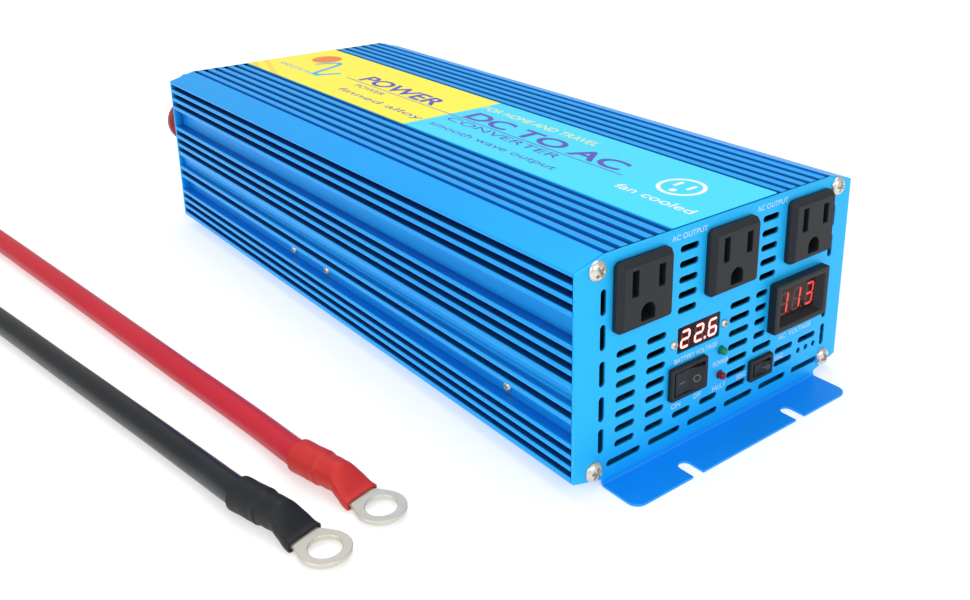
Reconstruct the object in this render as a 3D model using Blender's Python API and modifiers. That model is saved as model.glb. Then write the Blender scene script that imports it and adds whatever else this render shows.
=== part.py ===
"""Power inverter: two-part finned case, sheet panels, outlets, meters, switches, fans, terminals and cables.

Units are metres. The front panel faces -Y, +X is to its right and +Z is up. The origin is on the floor,
in the middle of everything but the two loose battery cables.
"""
import math

import bmesh
import bpy
from mathutils import Matrix, Vector

# ---- driving dimensions -------------------------------------------------------------------------------
WIDTH = 0.150  # across the fin tips
LENGTH = 0.3435  # over the outer faces of the two end panels
SHEET = 0.0010  # end panel steel
GAP = 0.0003  # between pieces that touch
FLANGE_REACH = 0.0172  # mounting flange, in front of the panel
TERMINAL_REACH = 0.031  # tip of the terminal studs, behind the rear panel
FRONT_Y = FLANGE_REACH - (LENGTH + FLANGE_REACH + TERMINAL_REACH) / 2
REAR_Y = FRONT_Y + LENGTH
CASE_BOTTOM = 0.0031

# ---- extruded case: one side, as heights in millimetres from the seam up and from the seam down -------
MM = 0.001
SEAM_Z = 0.0434
FIN, GROOVE = 2.2, 2.6
LOW_FIN, LOW_GROOVE = 2.1, 2.35
LIP, WIDE_CHANNEL, LOW_CHANNEL, SEAM_CHANNEL, TOP_RIM, LOW_RIM = 2.7, 9.9, 7.6, 6.2, 1.4, 2.4
FIN_DEPTH = 0.0048
SEAM_CHANNEL_DEPTH = 0.0025
CHAMFER_RUN = 0.0137  # sloped shoulder between side and top
CHAMFER_RISE = 0.0038
WALL = 0.0020
TOP_GROOVE_DEPTH = 0.0026
TOP_GROOVE_WIDTH = 0.0027
TOP_GROOVE_PITCH = 0.00603
TOP_GROOVES = 6  # on each side of the smooth middle strip
TOP_GROOVE_FIRST = 0.0303
TONGUE = 0.0018
TONGUE_RISE = 0.0013
RAIL_REACH = 0.0030  # rails that hold the circuit board
RAIL_HEIGHT = 0.0015
BOARD_THICKNESS = 0.0016
BOARD_Z = 0.0165
PORT_RADIUS = 0.0021  # screw ports in the corners of the extrusions
PORT_INSET = 0.0095
PORT_TOP_DROP = 0.0049
PORT_LOW_RISE = 0.0053

# ---- end panels ---------------------------------------------------------------------------------------
BEND_RADIUS = 0.0009
FLANGE_HALF = 0.0609
FLANGE_CORNER = 0.0045
MOUNT_SLOT_WIDTH = 0.0054
MOUNT_SLOT_LENGTH = 0.0092
MOUNT_SLOT_X = 0.0296
PANEL_INSET = 0.0002
CLEAR = 0.0003
VENT_HEIGHT = 0.0026

# ---- parts of the front panel: centres as (x, z) ------------------------------------------------------
OUTLET_X = (-0.0448, 0.0014, 0.0474)
OUTLET_Z = 0.0726
OUTLET_SIZE = 0.0265
OUTLET_PROUD = 0.0040
OUTLET_BEVEL = 0.0017
OUTLET_DEPTH = 0.020
BLADE_SPACING = 0.0127
BLADE_Z = 0.0049
GROUND_Z = -0.0071
BLADE_WIDTH = 0.0031
GROUND_WIDTH = 0.0068
GROUND_DROP = 0.0030
AC_METER = (0.04355, 0.0426)
AC_METER_SIZE = (0.0335, 0.0212)
AC_METER_PROUD = 0.0038
AC_WINDOW = (0.0231, 0.0130)
BATTERY_METER = (-0.0134, 0.0455)
BATTERY_METER_SIZE = (0.0230, 0.0104)
BATTERY_SCREWS = ((-0.0269, 0.0447), (0.0005, 0.0448))
MAIN_SWITCH = (-0.0192, 0.02885)
MAIN_SWITCH_SIZE = (0.0198, 0.0134)
FREQUENCY_SWITCH = (0.0234, 0.0185)
FREQUENCY_SWITCH_SIZE = (0.0140, 0.0093)
ROCKER_TILT = math.radians(9)
LED_X = -0.0004
LED_Z = (0.0339, 0.0234)
LED_RADIUS = 0.0015
LED_PROUD = 0.0028

# ---- rear panel ---------------------------------------------------------------------------------------
FAN_X = 0.0225
FAN_Z = 0.0500
FAN_SIZE = 0.040
FAN_DEPTH = 0.020
FAN_RIM = 0.0010  # of the frame, where its bore comes closest to its sides
FAN_BORE = FAN_SIZE / 2 - FAN_RIM
FAN_SCREW = FAN_SIZE / 2 - 0.0040  # screw holes, in from the frame's sides
TERMINAL_X = 0.0580
TERMINAL_Z = 0.0565
TERMINAL_RADIUS = 0.0130
EARTH_Z = 0.0170

# ---- battery cables -----------------------------------------------------------------------------------
CABLE_RADIUS = 0.0050
SLEEVE_WALL = 0.0009
LUG_RING = 0.0089
LUG_HOLE = 0.0056
LUG_PLATE = 0.0018
TONGUE_HALF = 0.0060
BARREL_RADIUS = 0.0046
BARREL_START = 0.0190  # from the ring's centre to the barrel
BARREL_END = 0.0270
CABLE_START = BARREL_END + 0.0012
STRAIGHT = 0.0145  # of cable in line with each lug
CABLE_Z = CABLE_RADIUS + GAP
LUG_Z = GAP + SLEEVE_WALL + GAP  # underside of the lugs, which the sleeves lift
SLEEVED_Z = LUG_Z + CABLE_RADIUS

parts = None
cutters = None


# ---- helpers ------------------------------------------------------------------------------------------
def material(name, colour, roughness, metallic=0.0, emission=0.0):
    found = bpy.data.materials.get(name)
    if found:
        return found
    made = bpy.data.materials.new(name)
    made.use_nodes = True
    shader = made.node_tree.nodes["Principled BSDF"]
    shader.inputs["Base Color"].default_value = (*colour, 1.0)
    shader.inputs["Roughness"].default_value = roughness
    shader.inputs["Metallic"].default_value = metallic
    shader.inputs["Emission Color"].default_value = (*colour, 1.0)
    shader.inputs["Emission Strength"].default_value = emission
    return made


BLUE = dict(name="blue_anodised", colour=(0.02, 0.28, 0.85), roughness=0.35, metallic=0.8)
BLUE_PAINT = dict(name="blue_paint", colour=(0.02, 0.30, 0.90), roughness=0.35)
BLACK = dict(name="black_plastic", colour=(0.03, 0.03, 0.035), roughness=0.45)
SILVER = dict(name="screw_steel", colour=(0.75, 0.75, 0.73), roughness=0.3, metallic=1.0)
TINNED = dict(name="tinned_copper", colour=(0.8, 0.79, 0.74), roughness=0.35, metallic=1.0)
BRASS = dict(name="brass", colour=(0.75, 0.55, 0.25), roughness=0.3, metallic=1.0)
RED = dict(name="red_plastic", colour=(0.55, 0.03, 0.05), roughness=0.45)
RED_CABLE = dict(name="red_cable", colour=(0.60, 0.03, 0.06), roughness=0.4)
BLACK_CABLE = dict(name="black_cable", colour=(0.02, 0.022, 0.025), roughness=0.35)
SMOKED = dict(name="smoked_window", colour=(0.10, 0.03, 0.02), roughness=0.1)
GREEN_LED = dict(name="green_lens", colour=(0.05, 0.5, 0.2), roughness=0.1)
RED_LED = dict(name="red_lens", colour=(0.6, 0.02, 0.02), roughness=0.1)
BOARD = dict(name="circuit_board", colour=(0.02, 0.18, 0.07), roughness=0.5)
ALUMINIUM = dict(name="aluminium", colour=(0.7, 0.7, 0.7), roughness=0.4, metallic=1.0)
FERRITE = dict(name="ferrite", colour=(0.06, 0.06, 0.06), roughness=0.6)
TAPE = dict(name="winding_tape", colour=(0.75, 0.6, 0.1), roughness=0.5)
YELLOW = dict(name="label_film", colour=(0.95, 0.9, 0.1), roughness=0.4)
CAN = dict(name="capacitor_sleeve", colour=(0.02, 0.03, 0.08), roughness=0.4)


def add(obj, look=None, collection=None):
    (collection or parts).objects.link(obj)
    if look:
        obj.data.materials.clear()
        obj.data.materials.append(material(**look))
    return obj


def baked(obj):
    """Replace an object by a mesh of what it evaluates to, welded closed."""
    bpy.context.view_layer.update()
    graph = bpy.context.evaluated_depsgraph_get()
    data = bpy.data.meshes.new_from_object(obj.evaluated_get(graph))
    mesh = bmesh.new()
    mesh.from_mesh(data)
    bmesh.ops.remove_doubles(mesh, verts=mesh.verts, dist=1e-6)
    bmesh.ops.recalc_face_normals(mesh, faces=mesh.faces)
    mesh.to_mesh(data)
    mesh.free()
    made = bpy.data.objects.new(obj.name + "_mesh", data)
    made.matrix_world = obj.matrix_world.copy()
    name = obj.name
    bpy.data.objects.remove(obj)
    made.name = name
    return made


def outline(name, loops, thickness, look=None, centre=(0, 0, 0), flat=False, collection=None):
    """A plate from closed loops of points, the first outside and the rest holes.

    The loops lie in X and Z and the thickness runs along Y; flat lays them in X and Y instead.
    """
    curve = bpy.data.curves.new(name, "CURVE")
    curve.dimensions = "2D"
    curve.fill_mode = "BOTH"
    curve.extrude = thickness / 2
    for loop in loops:
        spline = curve.splines.new("POLY")
        spline.points.add(len(loop) - 1)
        for point, (x, y) in zip(spline.points, loop):
            point.co = (x, y, 0.0, 1.0)
        spline.use_cyclic_u = True
    obj = bpy.data.objects.new(name, curve)
    obj.location = centre
    if not flat:
        obj.rotation_euler = (math.pi / 2, 0, 0)
    bpy.context.scene.collection.objects.link(obj)
    return add(baked(obj), look, collection)


def box(name, size, centre, look=None, collection=None, bevel=0.0):
    mesh = bmesh.new()
    bmesh.ops.create_cube(mesh, size=1.0, matrix=Matrix.Diagonal((*size, 1.0)))
    data = bpy.data.meshes.new(name)
    mesh.to_mesh(data)
    mesh.free()
    obj = bpy.data.objects.new(name, data)
    obj.location = centre
    if bevel:
        edge = obj.modifiers.new("bevel", "BEVEL")
        edge.width = bevel
        edge.segments = 2
    return add(obj, look, collection)


def tapered(name, size, centre, inset, look=None):
    """A box whose -Y face is smaller than its +Y face by inset all round."""
    obj = box(name, size, centre, look)
    for vertex in obj.data.vertices:
        if vertex.co.y < 0:
            vertex.co.x -= math.copysign(inset, vertex.co.x)
            vertex.co.z -= math.copysign(inset, vertex.co.z)
    return obj


AXES = {"-Y": (math.pi / 2, 0, 0), "+Y": (-math.pi / 2, 0, 0), "-X": (0, -math.pi / 2, 0),
        "+X": (0, math.pi / 2, 0), "+Z": (0, 0, 0)}


def turned_mesh(name, profile, steps=24):
    """A mesh turned about Z from (radius, height) points that run from the top down the outside."""
    data = bpy.data.meshes.new(name)
    data.from_pydata([(r, 0, h) for r, h in profile], [(i, i + 1) for i in range(len(profile) - 1)], [])
    obj = bpy.data.objects.new(name, data)
    screw = obj.modifiers.new("turn", "SCREW")
    screw.steps = screw.render_steps = steps
    screw.use_merge_vertices = True
    screw.merge_threshold = 1e-6
    bpy.context.scene.collection.objects.link(obj)
    made = baked(obj)
    made.data.shade_smooth()
    made.data.set_sharp_from_angle(angle=math.radians(35))
    return made


def placed(obj, centre, axis, look=None, collection=None):
    obj.location = centre
    obj.rotation_euler = AXES[axis]
    return add(obj, look, collection)


def turned(name, profile, centre, axis, look=None, collection=None, steps=24):
    return placed(turned_mesh(name, profile, steps), centre, axis, look, collection)


def rod(name, radius, length, centre, axis, look=None, collection=None, steps=16):
    """A plain cylinder whose base is at centre and which runs along axis."""
    return turned(name, [(0, length), (radius, length), (radius, 0), (0, 0)], centre, axis, look, collection, steps)


def combine(obj, tools, operation="DIFFERENCE"):
    for tool in tools:
        step = obj.modifiers.new(tool.name, "BOOLEAN")
        step.operation = operation
        step.object = tool
        tool.hide_render = True
        tool.display_type = "WIRE"
    return obj


def arc(cx, cy, radius, start, end, steps=5):
    """Points on an arc, angles in degrees."""
    return [
        (cx + radius * math.cos(math.radians(start + (end - start) * i / steps)),
         cy + radius * math.sin(math.radians(start + (end - start) * i / steps)))
        for i in range(steps + 1)
    ]


def circle(cx, cy, radius, sides=16):
    return arc(cx, cy, radius, 0, 360 - 360 / sides, sides - 1)


def stadium(cx, cy, length, width, upright=False):
    half = (length - width) / 2
    if upright:
        return arc(cx, cy + half, width / 2, 0, 180, 3) + arc(cx, cy - half, width / 2, 180, 360, 3)
    return arc(cx + half, cy, width / 2, -90, 90, 3) + arc(cx - half, cy, width / 2, 90, 270, 3)


def rectangle(cx, cy, width, height):
    return [(cx - width / 2, cy - height / 2), (cx + width / 2, cy - height / 2),
            (cx + width / 2, cy + height / 2), (cx - width / 2, cy + height / 2)]


def mirrored(points):
    return [(-x, z) for x, z in reversed(points)]


# ---- case ---------------------------------------------------------------------------------------------
HALF = WIDTH / 2
UPPER_STACK = [("fin", LIP), ("groove", GROOVE), ("fin", FIN), ("groove", GROOVE), ("fin", FIN),
               ("groove", GROOVE), ("fin", FIN), ("groove", WIDE_CHANNEL), ("fin", FIN), ("groove", GROOVE),
               ("fin", FIN), ("groove", GROOVE), ("fin", FIN), ("groove", GROOVE), ("fin", TOP_RIM)]
LOWER_STACK = [("fin", FIN), ("groove", GROOVE), ("fin", FIN), ("groove", LOW_CHANNEL), ("fin", LOW_FIN),
               ("groove", LOW_GROOVE), ("fin", LOW_FIN), ("groove", LOW_GROOVE), ("fin", LOW_FIN),
               ("groove", LOW_GROOVE), ("fin", LOW_RIM)]
SIDE_TOP = SEAM_Z + sum(height for _, height in UPPER_STACK) * MM
SIDE_LOW = SEAM_Z - (SEAM_CHANNEL + sum(height for _, height in LOWER_STACK)) * MM
CASE_TOP = SIDE_TOP + CHAMFER_RISE
FRONT_PORTS = [(side * (HALF - PORT_INSET), z) for side in (-1, 1)
               for z in (CASE_TOP - PORT_TOP_DROP, CASE_BOTTOM + PORT_LOW_RISE)]
INNER_HALF = HALF - FIN_DEPTH - WALL
BODY_LENGTH = LENGTH - 2 * (SHEET + GAP)
MID_Y = (FRONT_Y + REAR_Y) / 2


def side_points(stack, z, direction):
    """Fins and grooves of the +X side as (x, z) points, going up or down from z."""
    points = []
    for kind, height in stack:
        x = HALF if kind == "fin" else HALF - FIN_DEPTH
        points += [(x, z), (x, z + direction * height * MM)]
        z += direction * height * MM
    return points


def top_points():
    """The ribbed top, from its +X edge to the middle."""
    points = []
    for i in reversed(range(TOP_GROOVES)):
        x = TOP_GROOVE_FIRST + i * TOP_GROOVE_PITCH
        points += [(x + TOP_GROOVE_WIDTH / 2, CASE_TOP), (x + TOP_GROOVE_WIDTH / 2, CASE_TOP - TOP_GROOVE_DEPTH),
                   (x - TOP_GROOVE_WIDTH / 2, CASE_TOP - TOP_GROOVE_DEPTH), (x - TOP_GROOVE_WIDTH / 2, CASE_TOP)]
    return points


def port(x, z):
    return circle(x, z, PORT_RADIUS, 12)


def upper_housing():
    ceiling = CASE_TOP - TOP_GROOVE_DEPTH - WALL
    corner = HALF - PORT_INSET - PORT_RADIUS - WALL
    corner_z = CASE_TOP - PORT_TOP_DROP - PORT_RADIUS - WALL
    slot_out, slot_in = HALF - SEAM_CHANNEL_DEPTH + GAP, HALF - SEAM_CHANNEL_DEPTH - TONGUE - GAP
    right = [(corner, ceiling), (corner, corner_z), (INNER_HALF, corner_z), (INNER_HALF, SEAM_Z), (slot_in, SEAM_Z),
             (slot_in, SEAM_Z + TONGUE_RISE + GAP), (slot_out, SEAM_Z + TONGUE_RISE + GAP), (slot_out, SEAM_Z)]
    right += side_points(UPPER_STACK, SEAM_Z, 1)
    right += [(HALF - CHAMFER_RUN, CASE_TOP)] + top_points()
    loops = [right + mirrored(right)] + [port(x, z) for x, z in FRONT_PORTS if z > SEAM_Z]
    outline("upper_housing", loops, BODY_LENGTH, BLUE, (0, MID_Y, 0))


def lower_housing():
    floor = CASE_BOTTOM + WALL
    corner = HALF - PORT_INSET - PORT_RADIUS - WALL
    top = SEAM_Z - GAP
    rails = []
    for z in (BOARD_Z + BOARD_THICKNESS + CLEAR, BOARD_Z - CLEAR - RAIL_HEIGHT):
        rails += [(INNER_HALF, z + RAIL_HEIGHT), (INNER_HALF - RAIL_REACH, z + RAIL_HEIGHT),
                  (INNER_HALF - RAIL_REACH, z), (INNER_HALF, z)]
    tongue = HALF - SEAM_CHANNEL_DEPTH
    right = [(tongue - TONGUE, top), (tongue - TONGUE, top + TONGUE_RISE), (tongue, top + TONGUE_RISE),
             (tongue, SEAM_Z - SEAM_CHANNEL * MM)]
    right += side_points(LOWER_STACK, SEAM_Z - SEAM_CHANNEL * MM, -1)
    right += [(HALF - CHAMFER_RUN, CASE_BOTTOM)]
    corner_z = CASE_BOTTOM + PORT_LOW_RISE + PORT_RADIUS + WALL
    inner = [(corner, floor), (corner, corner_z), (INNER_HALF, corner_z)]
    inner += list(reversed(rails)) + [(INNER_HALF, top)]
    loops = [right + mirrored(right) + mirrored(inner) + inner]
    loops += [port(x, z) for x, z in FRONT_PORTS if z < SEAM_Z]
    obj = outline("lower_housing", loops, BODY_LENGTH, BLUE, (0, MID_Y, 0))
    combine(obj, [
        rod(f"side_hole_{side}_{i}", SIDE_SCREW_RADIUS + CLEAR, 0.02, (sx * (HALF + 0.002), y, SIDE_SCREW_Z),
            "-X" if sx > 0 else "+X", collection=cutters, steps=12)
        for side, sx in (("left", -1), ("right", 1)) for i, y in enumerate(SIDE_SCREW_Y)
    ])


def label():
    thickness = 0.0002
    box("label", (0.0575, BODY_LENGTH, thickness), (0.0002, MID_Y, CASE_TOP + 0.00005 + thickness / 2), YELLOW)


# ---- end panels ---------------------------------------------------------------------------------------
def bent_sheet(name, holes, facing):
    """A panel and its mounting flange, cut flat as one blank and folded along the bottom.

    facing is -1 for the front panel and 1 for the rear one. The holes are in the panel's own view.
    """
    bend_z = SHEET + BEND_RADIUS
    fold = BEND_RADIUS * math.pi / 2
    edge = bend_z - fold - (FLANGE_REACH - BEND_RADIUS)
    half, top, low = HALF - PANEL_INSET, CASE_TOP - PANEL_INSET, CASE_BOTTOM
    slot_end = edge + MOUNT_SLOT_LENGTH - MOUNT_SLOT_WIDTH / 2
    right = [(MOUNT_SLOT_X - MOUNT_SLOT_WIDTH / 2, edge)]
    right += arc(MOUNT_SLOT_X, slot_end, MOUNT_SLOT_WIDTH / 2, 180, 0, 8)
    right += [(MOUNT_SLOT_X + MOUNT_SLOT_WIDTH / 2, edge)]
    right += arc(FLANGE_HALF - FLANGE_CORNER, edge + FLANGE_CORNER, FLANGE_CORNER, -90, 0, 5)
    right += [(FLANGE_HALF, low), (half, SIDE_LOW), (half, SIDE_TOP), (HALF - CHAMFER_RUN, top)]
    obj = outline(name, [right + mirrored(right)] + holes, SHEET)
    mesh = bmesh.new()
    mesh.from_mesh(obj.data)
    for share in (0, 0.5, 1):
        bmesh.ops.bisect_plane(mesh, geom=mesh.verts[:] + mesh.edges[:] + mesh.faces[:], dist=1e-7,
                               plane_co=(0, bend_z - fold * share, 0), plane_no=(0, 1, 0))
    for vertex in mesh.verts:
        along, depth = vertex.co.y, SHEET / 2 - vertex.co.z
        turn = min(max((bend_z - along) / BEND_RADIUS, 0.0), math.pi / 2)
        past = max(bend_z - fold - along, 0.0)
        vertex.co.y = max(along, bend_z) - (BEND_RADIUS + depth) * math.sin(turn)
        vertex.co.z = -(BEND_RADIUS + depth) * math.cos(turn) + BEND_RADIUS + past
    mesh.to_mesh(obj.data)
    mesh.free()
    obj.location = (0, FRONT_Y if facing < 0 else REAR_Y, 0)
    obj.rotation_euler = (math.pi / 2, 0, 0 if facing < 0 else math.pi)
    obj.data.materials.clear()
    obj.data.materials.append(material(**BLUE_PAINT))
    return obj


ROWS = [0.0152 + 0.0059 * i for i in range(7)]
HIGH_ROWS = [0.0577 + 0.0060 * i for i in range(5)]
VENT_COLUMNS = [  # x, length, rows
    (-0.0507, 0.0097, ROWS),
    (-0.0358, 0.0097, ROWS),
    (0.0095, 0.0116, ROWS),
    (-0.0206, 0.0097, HIGH_ROWS),
    (0.0246, 0.0096, HIGH_ROWS),
    (0.0222, 0.0070, ROWS[3:]),
    (0.0243, 0.0114, ROWS[2:3]),
    (0.0388, 0.0114, ROWS[:2]),
    (0.0537, 0.0114, ROWS[1:2]),
    (-0.0213, 0.0097, ROWS[:1]),
    (-0.0064, 0.0097, ROWS[:1]),
]
FOOT_VENTS = [-0.0508 + 0.02085 * i for i in range(6)]
SIDE_VENTS = [0.0192, 0.0319, 0.0456, 0.0595, 0.0726]
ADJUSTER_HOLES = [0.0488, 0.0538, 0.0588]


def front_panel():
    holes = [stadium(x, z, length, VENT_HEIGHT) for x, length, rows in VENT_COLUMNS for z in rows]
    holes += [stadium(x, 0.0086, 0.0168, VENT_HEIGHT) for x in FOOT_VENTS]
    holes += [stadium(x, z, 0.0097, VENT_HEIGHT, upright=True) for x in (-0.0622, 0.0644) for z in SIDE_VENTS]
    holes += [circle(x, 0.01675, 0.00125, 12) for x in ADJUSTER_HOLES]
    neck = OUTLET_SIZE - 2 * OUTLET_BEVEL
    holes += [rectangle(x, OUTLET_Z, neck, neck) for x in OUTLET_X]
    holes += [rectangle(*AC_METER, AC_METER_SIZE[0] - 0.003, AC_METER_SIZE[1] - 0.003)]
    holes += [rectangle(*BATTERY_METER, *BATTERY_METER_SIZE)]
    holes += [circle(x, z, 0.0009 + CLEAR, 12) for x, z in BATTERY_SCREWS]
    holes += [rectangle(*at, size[0] - 0.002, size[1] - 0.002) for at, size in
              ((MAIN_SWITCH, MAIN_SWITCH_SIZE), (FREQUENCY_SWITCH, FREQUENCY_SWITCH_SIZE))]
    holes += [circle(LED_X, z, LED_RADIUS + CLEAR, 12) for z in LED_Z]
    holes += [port(x, z) for x, z in FRONT_PORTS]
    bent_sheet("front_panel", holes, -1)


def ring_slot(cx, cz, inner, outer, start, end):
    """A curved ventilation slot between two radii, with angles in degrees."""
    return arc(cx, cz, outer, start, end, 6) + arc(cx, cz, inner, end, start, 6)


def rear_panel():
    holes = [port(x, z) for x, z in FRONT_PORTS]
    for x in (-FAN_X, FAN_X):
        for inner in (FAN_BORE - 0.0140, FAN_BORE - 0.0095, FAN_BORE - 0.0050):
            spoke = math.degrees(0.0013 / inner)
            holes += [ring_slot(x, FAN_Z, inner, inner + 0.0030, 45 + 90 * i + spoke, 135 + 90 * i - spoke)
                      for i in range(4)]
        holes += [circle(x + sx * FAN_SCREW, FAN_Z + sz * FAN_SCREW, 0.0019, 12) for sx in (-1, 1) for sz in (-1, 1)]
    holes += [circle(x, TERMINAL_Z, 0.0062, 16) for x in (-TERMINAL_X, TERMINAL_X)]
    holes += [circle(0, EARTH_Z, 0.0024, 12)]
    holes += [stadium(x, 0.0122, 0.0168, VENT_HEIGHT) for x in (-0.0450, -0.0240, 0.0240, 0.0450)]
    bent_sheet("rear_panel", holes, 1)


# ---- fasteners ----------------------------------------------------------------------------------------
def pan_screw_mesh(name, head, rise, shank, length, recess):
    """A pan-head screw with a cross recess, whose head sits on height 0."""
    profile = [(0, rise), (head * 0.45, rise * 0.96), (head * 0.8, rise * 0.72), (head, rise * 0.25), (head, 0),
               (shank, 0), (shank, -length), (0, -length)]
    screw = turned_mesh(name, profile, 12)
    add(screw, None, cutters)
    arms = [box(f"{name}_arm_{i}", (recess if i else recess / 4, recess / 4 if i else recess, rise * 1.2),
                (0, 0, rise), None, cutters) for i in range(2)]
    combine(screw, arms)
    made = baked(screw)
    for arm in arms:
        bpy.data.objects.remove(arm)
    data = made.data
    bpy.data.objects.remove(made)
    return data


def screw(name, data, centre, axis):
    return placed(bpy.data.objects.new(name, data), centre, axis, SILVER)


SIDE_SCREW_RADIUS = 0.0013
SIDE_SCREW_Z = 0.0254
SIDE_SCREW_Y = [FRONT_Y + y for y in (0.0420, 0.1793, 0.2118)]


def corner_screws():
    data = pan_screw_mesh("corner_screw", 0.0038, 0.0021, PORT_RADIUS - CLEAR, 0.012, 0.0036)
    names = ("bottom", "top")
    for x, z in FRONT_PORTS:
        side = "left" if x < 0 else "right"
        level = names[z > SEAM_Z]
        screw(f"front_screw_{level}_{side}", data, (x, FRONT_Y - GAP, z), "-Y")
        screw(f"rear_screw_{level}_{side}", data, (x, REAR_Y + GAP, z), "+Y")


def side_screws():
    """Screws in the low channel that clamp the left transistor bar to the case wall."""
    seat = HALF - FIN_DEPTH + GAP
    data = pan_screw_mesh("side_screw", 0.0021, 0.0014, SIDE_SCREW_RADIUS, 0.0065, 0.0022)
    for name, y in zip(("front", "middle", "rear"), SIDE_SCREW_Y):
        screw(f"bar_screw_{name}", data, (-seat, y, SIDE_SCREW_Z), "-X")


# ---- front panel parts --------------------------------------------------------------------------------
def outlet(name, x):
    """A three-pin socket: two blade slots above a round-topped earth hole."""
    face_y = FRONT_Y - OUTLET_PROUD
    rim = OUTLET_PROUD * 0.5
    front = tapered(name, (OUTLET_SIZE, OUTLET_PROUD - rim, OUTLET_SIZE),
                    (x, face_y + (OUTLET_PROUD - rim) / 2, OUTLET_Z), OUTLET_BEVEL, BLACK)
    overlap = 0.0002
    collar = box(f"{name}_collar", (OUTLET_SIZE, rim - GAP + overlap, OUTLET_SIZE),
                 (x, FRONT_Y - GAP - (rim - GAP + overlap) / 2, OUTLET_Z), None, cutters)
    neck = OUTLET_SIZE - 2 * OUTLET_BEVEL - 2 * CLEAR
    body = box(f"{name}_body", (neck, OUTLET_DEPTH, neck), (x, FRONT_Y - 0.001 + OUTLET_DEPTH / 2, OUTLET_Z),
               None, cutters)
    combine(front, [collar, body], "UNION")
    depth = 0.016
    holes = [box(f"{name}_blade_{i}", (BLADE_WIDTH, depth, height),
                 (x + side * BLADE_SPACING / 2, face_y + depth / 2 - 0.001, OUTLET_Z + BLADE_Z), None, cutters)
             for i, (side, height) in enumerate(((-1, 0.0096), (1, 0.0082)))]
    radius = GROUND_WIDTH / 2
    earth = arc(x, OUTLET_Z + GROUND_Z, radius, 0, 180, 10)
    earth += [(x + side * radius, OUTLET_Z + GROUND_Z - GROUND_DROP) for side in (-1, 1)]
    holes.append(outline(f"{name}_earth", [earth], depth, None, (0, face_y + depth / 2 - 0.001, 0),
                         collection=cutters))
    combine(front, holes)


def frame_with_window(name, at, size, window, proud, sill, neck, depth, look):
    """A raised bezel whose face slopes in to a window opening, on a neck that goes through the panel."""
    width, height = size
    frame = box(name, (width, proud - GAP, height), (at[0], FRONT_Y - (proud + GAP) / 2, at[1]), look)
    body = box(f"{name}_neck", (width - neck, depth, height - neck),
               (at[0], FRONT_Y - GAP - 0.0002 + depth / 2, at[1]), None, cutters)
    combine(frame, [body], "UNION")
    slope = proud - sill
    funnel = tapered(f"{name}_funnel", (window[0], slope + 0.0002, window[1]),
                     (at[0], FRONT_Y - proud + slope / 2 - 0.0001, at[1]), -0.0015)
    parts.objects.unlink(funnel)
    cutters.objects.link(funnel)
    well = box(f"{name}_well", (window[0] - 0.0004, depth - 0.002, window[1] - 0.0004),
               (at[0], FRONT_Y - sill - 0.0002 + (depth - 0.002) / 2, at[1]), None, cutters)
    combine(frame, [funnel, well])
    return frame


def ac_voltmeter():
    frame_with_window("ac_voltmeter_bezel", AC_METER, AC_METER_SIZE, AC_WINDOW, AC_METER_PROUD, 0.0007,
                      0.003 + 2 * CLEAR, 0.012, BLACK)
    box("ac_voltmeter_display", (AC_WINDOW[0] - 0.0004 - 2 * CLEAR, 0.008, AC_WINDOW[1] - 0.0004 - 2 * CLEAR),
        (AC_METER[0], FRONT_Y - 0.0007 + 0.004, AC_METER[1]), SMOKED)


def battery_voltmeter():
    width, height = BATTERY_METER_SIZE
    x, z = BATTERY_METER
    block = 0.0065
    front = FRONT_Y + 0.0003
    meter = box("battery_voltmeter", (width - 2 * CLEAR, block, height - 2 * CLEAR), (x, front + block / 2, z),
                SMOKED)
    (left, _), (right, _) = BATTERY_SCREWS
    ears = box("battery_voltmeter_ears", (right - left + 0.0046, 0.0016, height - 0.001),
               ((left + right) / 2, FRONT_Y + SHEET + GAP + 0.0008, z), None, cutters)
    combine(meter, [ears], "UNION")
    combine(meter, [rod(f"battery_ear_hole_{i}", 0.0009 + CLEAR, 0.02, (sx, FRONT_Y + 0.01, sz), "-Y",
                        collection=cutters, steps=12) for i, (sx, sz) in enumerate(BATTERY_SCREWS)])
    data = pan_screw_mesh("meter_screw", 0.0017, 0.0011, 0.0009, 0.005, 0.0020)
    for side, (sx, sz) in zip(("left", "right"), BATTERY_SCREWS):
        screw(f"voltmeter_screw_{side}", data, (sx, FRONT_Y - GAP, sz), "-Y")


def rocker_switch(name, at, size, proud, depth, travel):
    """A bezel with a well and a two-faced rocker that tilts about an upright axis in it."""
    x, z = at
    width, height = size
    bezel = tapered(f"{name}_housing", (width, proud - GAP, height), (x, FRONT_Y - (proud + GAP) / 2, z), 0.0006,
                    BLACK)
    body = box(f"{name}_body", (width - 0.002 - 2 * CLEAR, depth, height - 0.002 - 2 * CLEAR),
               (x, FRONT_Y - GAP - 0.0002 + depth / 2, z), None, cutters)
    combine(bezel, [body], "UNION")
    well = (width - 0.0036, height - 0.0036)
    combine(bezel, [box(f"{name}_well", (well[0], depth - 0.003 + proud, well[1]),
                        (x, FRONT_Y - proud - 0.001 + (depth - 0.003 + proud) / 2, z), None, cutters)])
    half = well[0] / 2 - 0.0011
    pivot_y = FRONT_Y + travel
    reach = travel + proud
    # seen from above: two front faces that meet in a shallow valley, over a half-round belly
    top = [(-half, -reach - half * math.sin(ROCKER_TILT)), (0, -reach + 0.0003),
           (half, -reach - half * math.sin(ROCKER_TILT))]
    belly = arc(0, -reach + 0.0012, half, 0, 180, 10)
    loop = [(px, py) for px, py in top] + belly[1:-1]
    rocker = outline(f"{name}_rocker", [loop], well[1] - 2 * CLEAR, BLACK, (x, pivot_y, z), flat=True)
    rocker.rotation_euler = (0, 0, -ROCKER_TILT)
    return rocker


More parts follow.
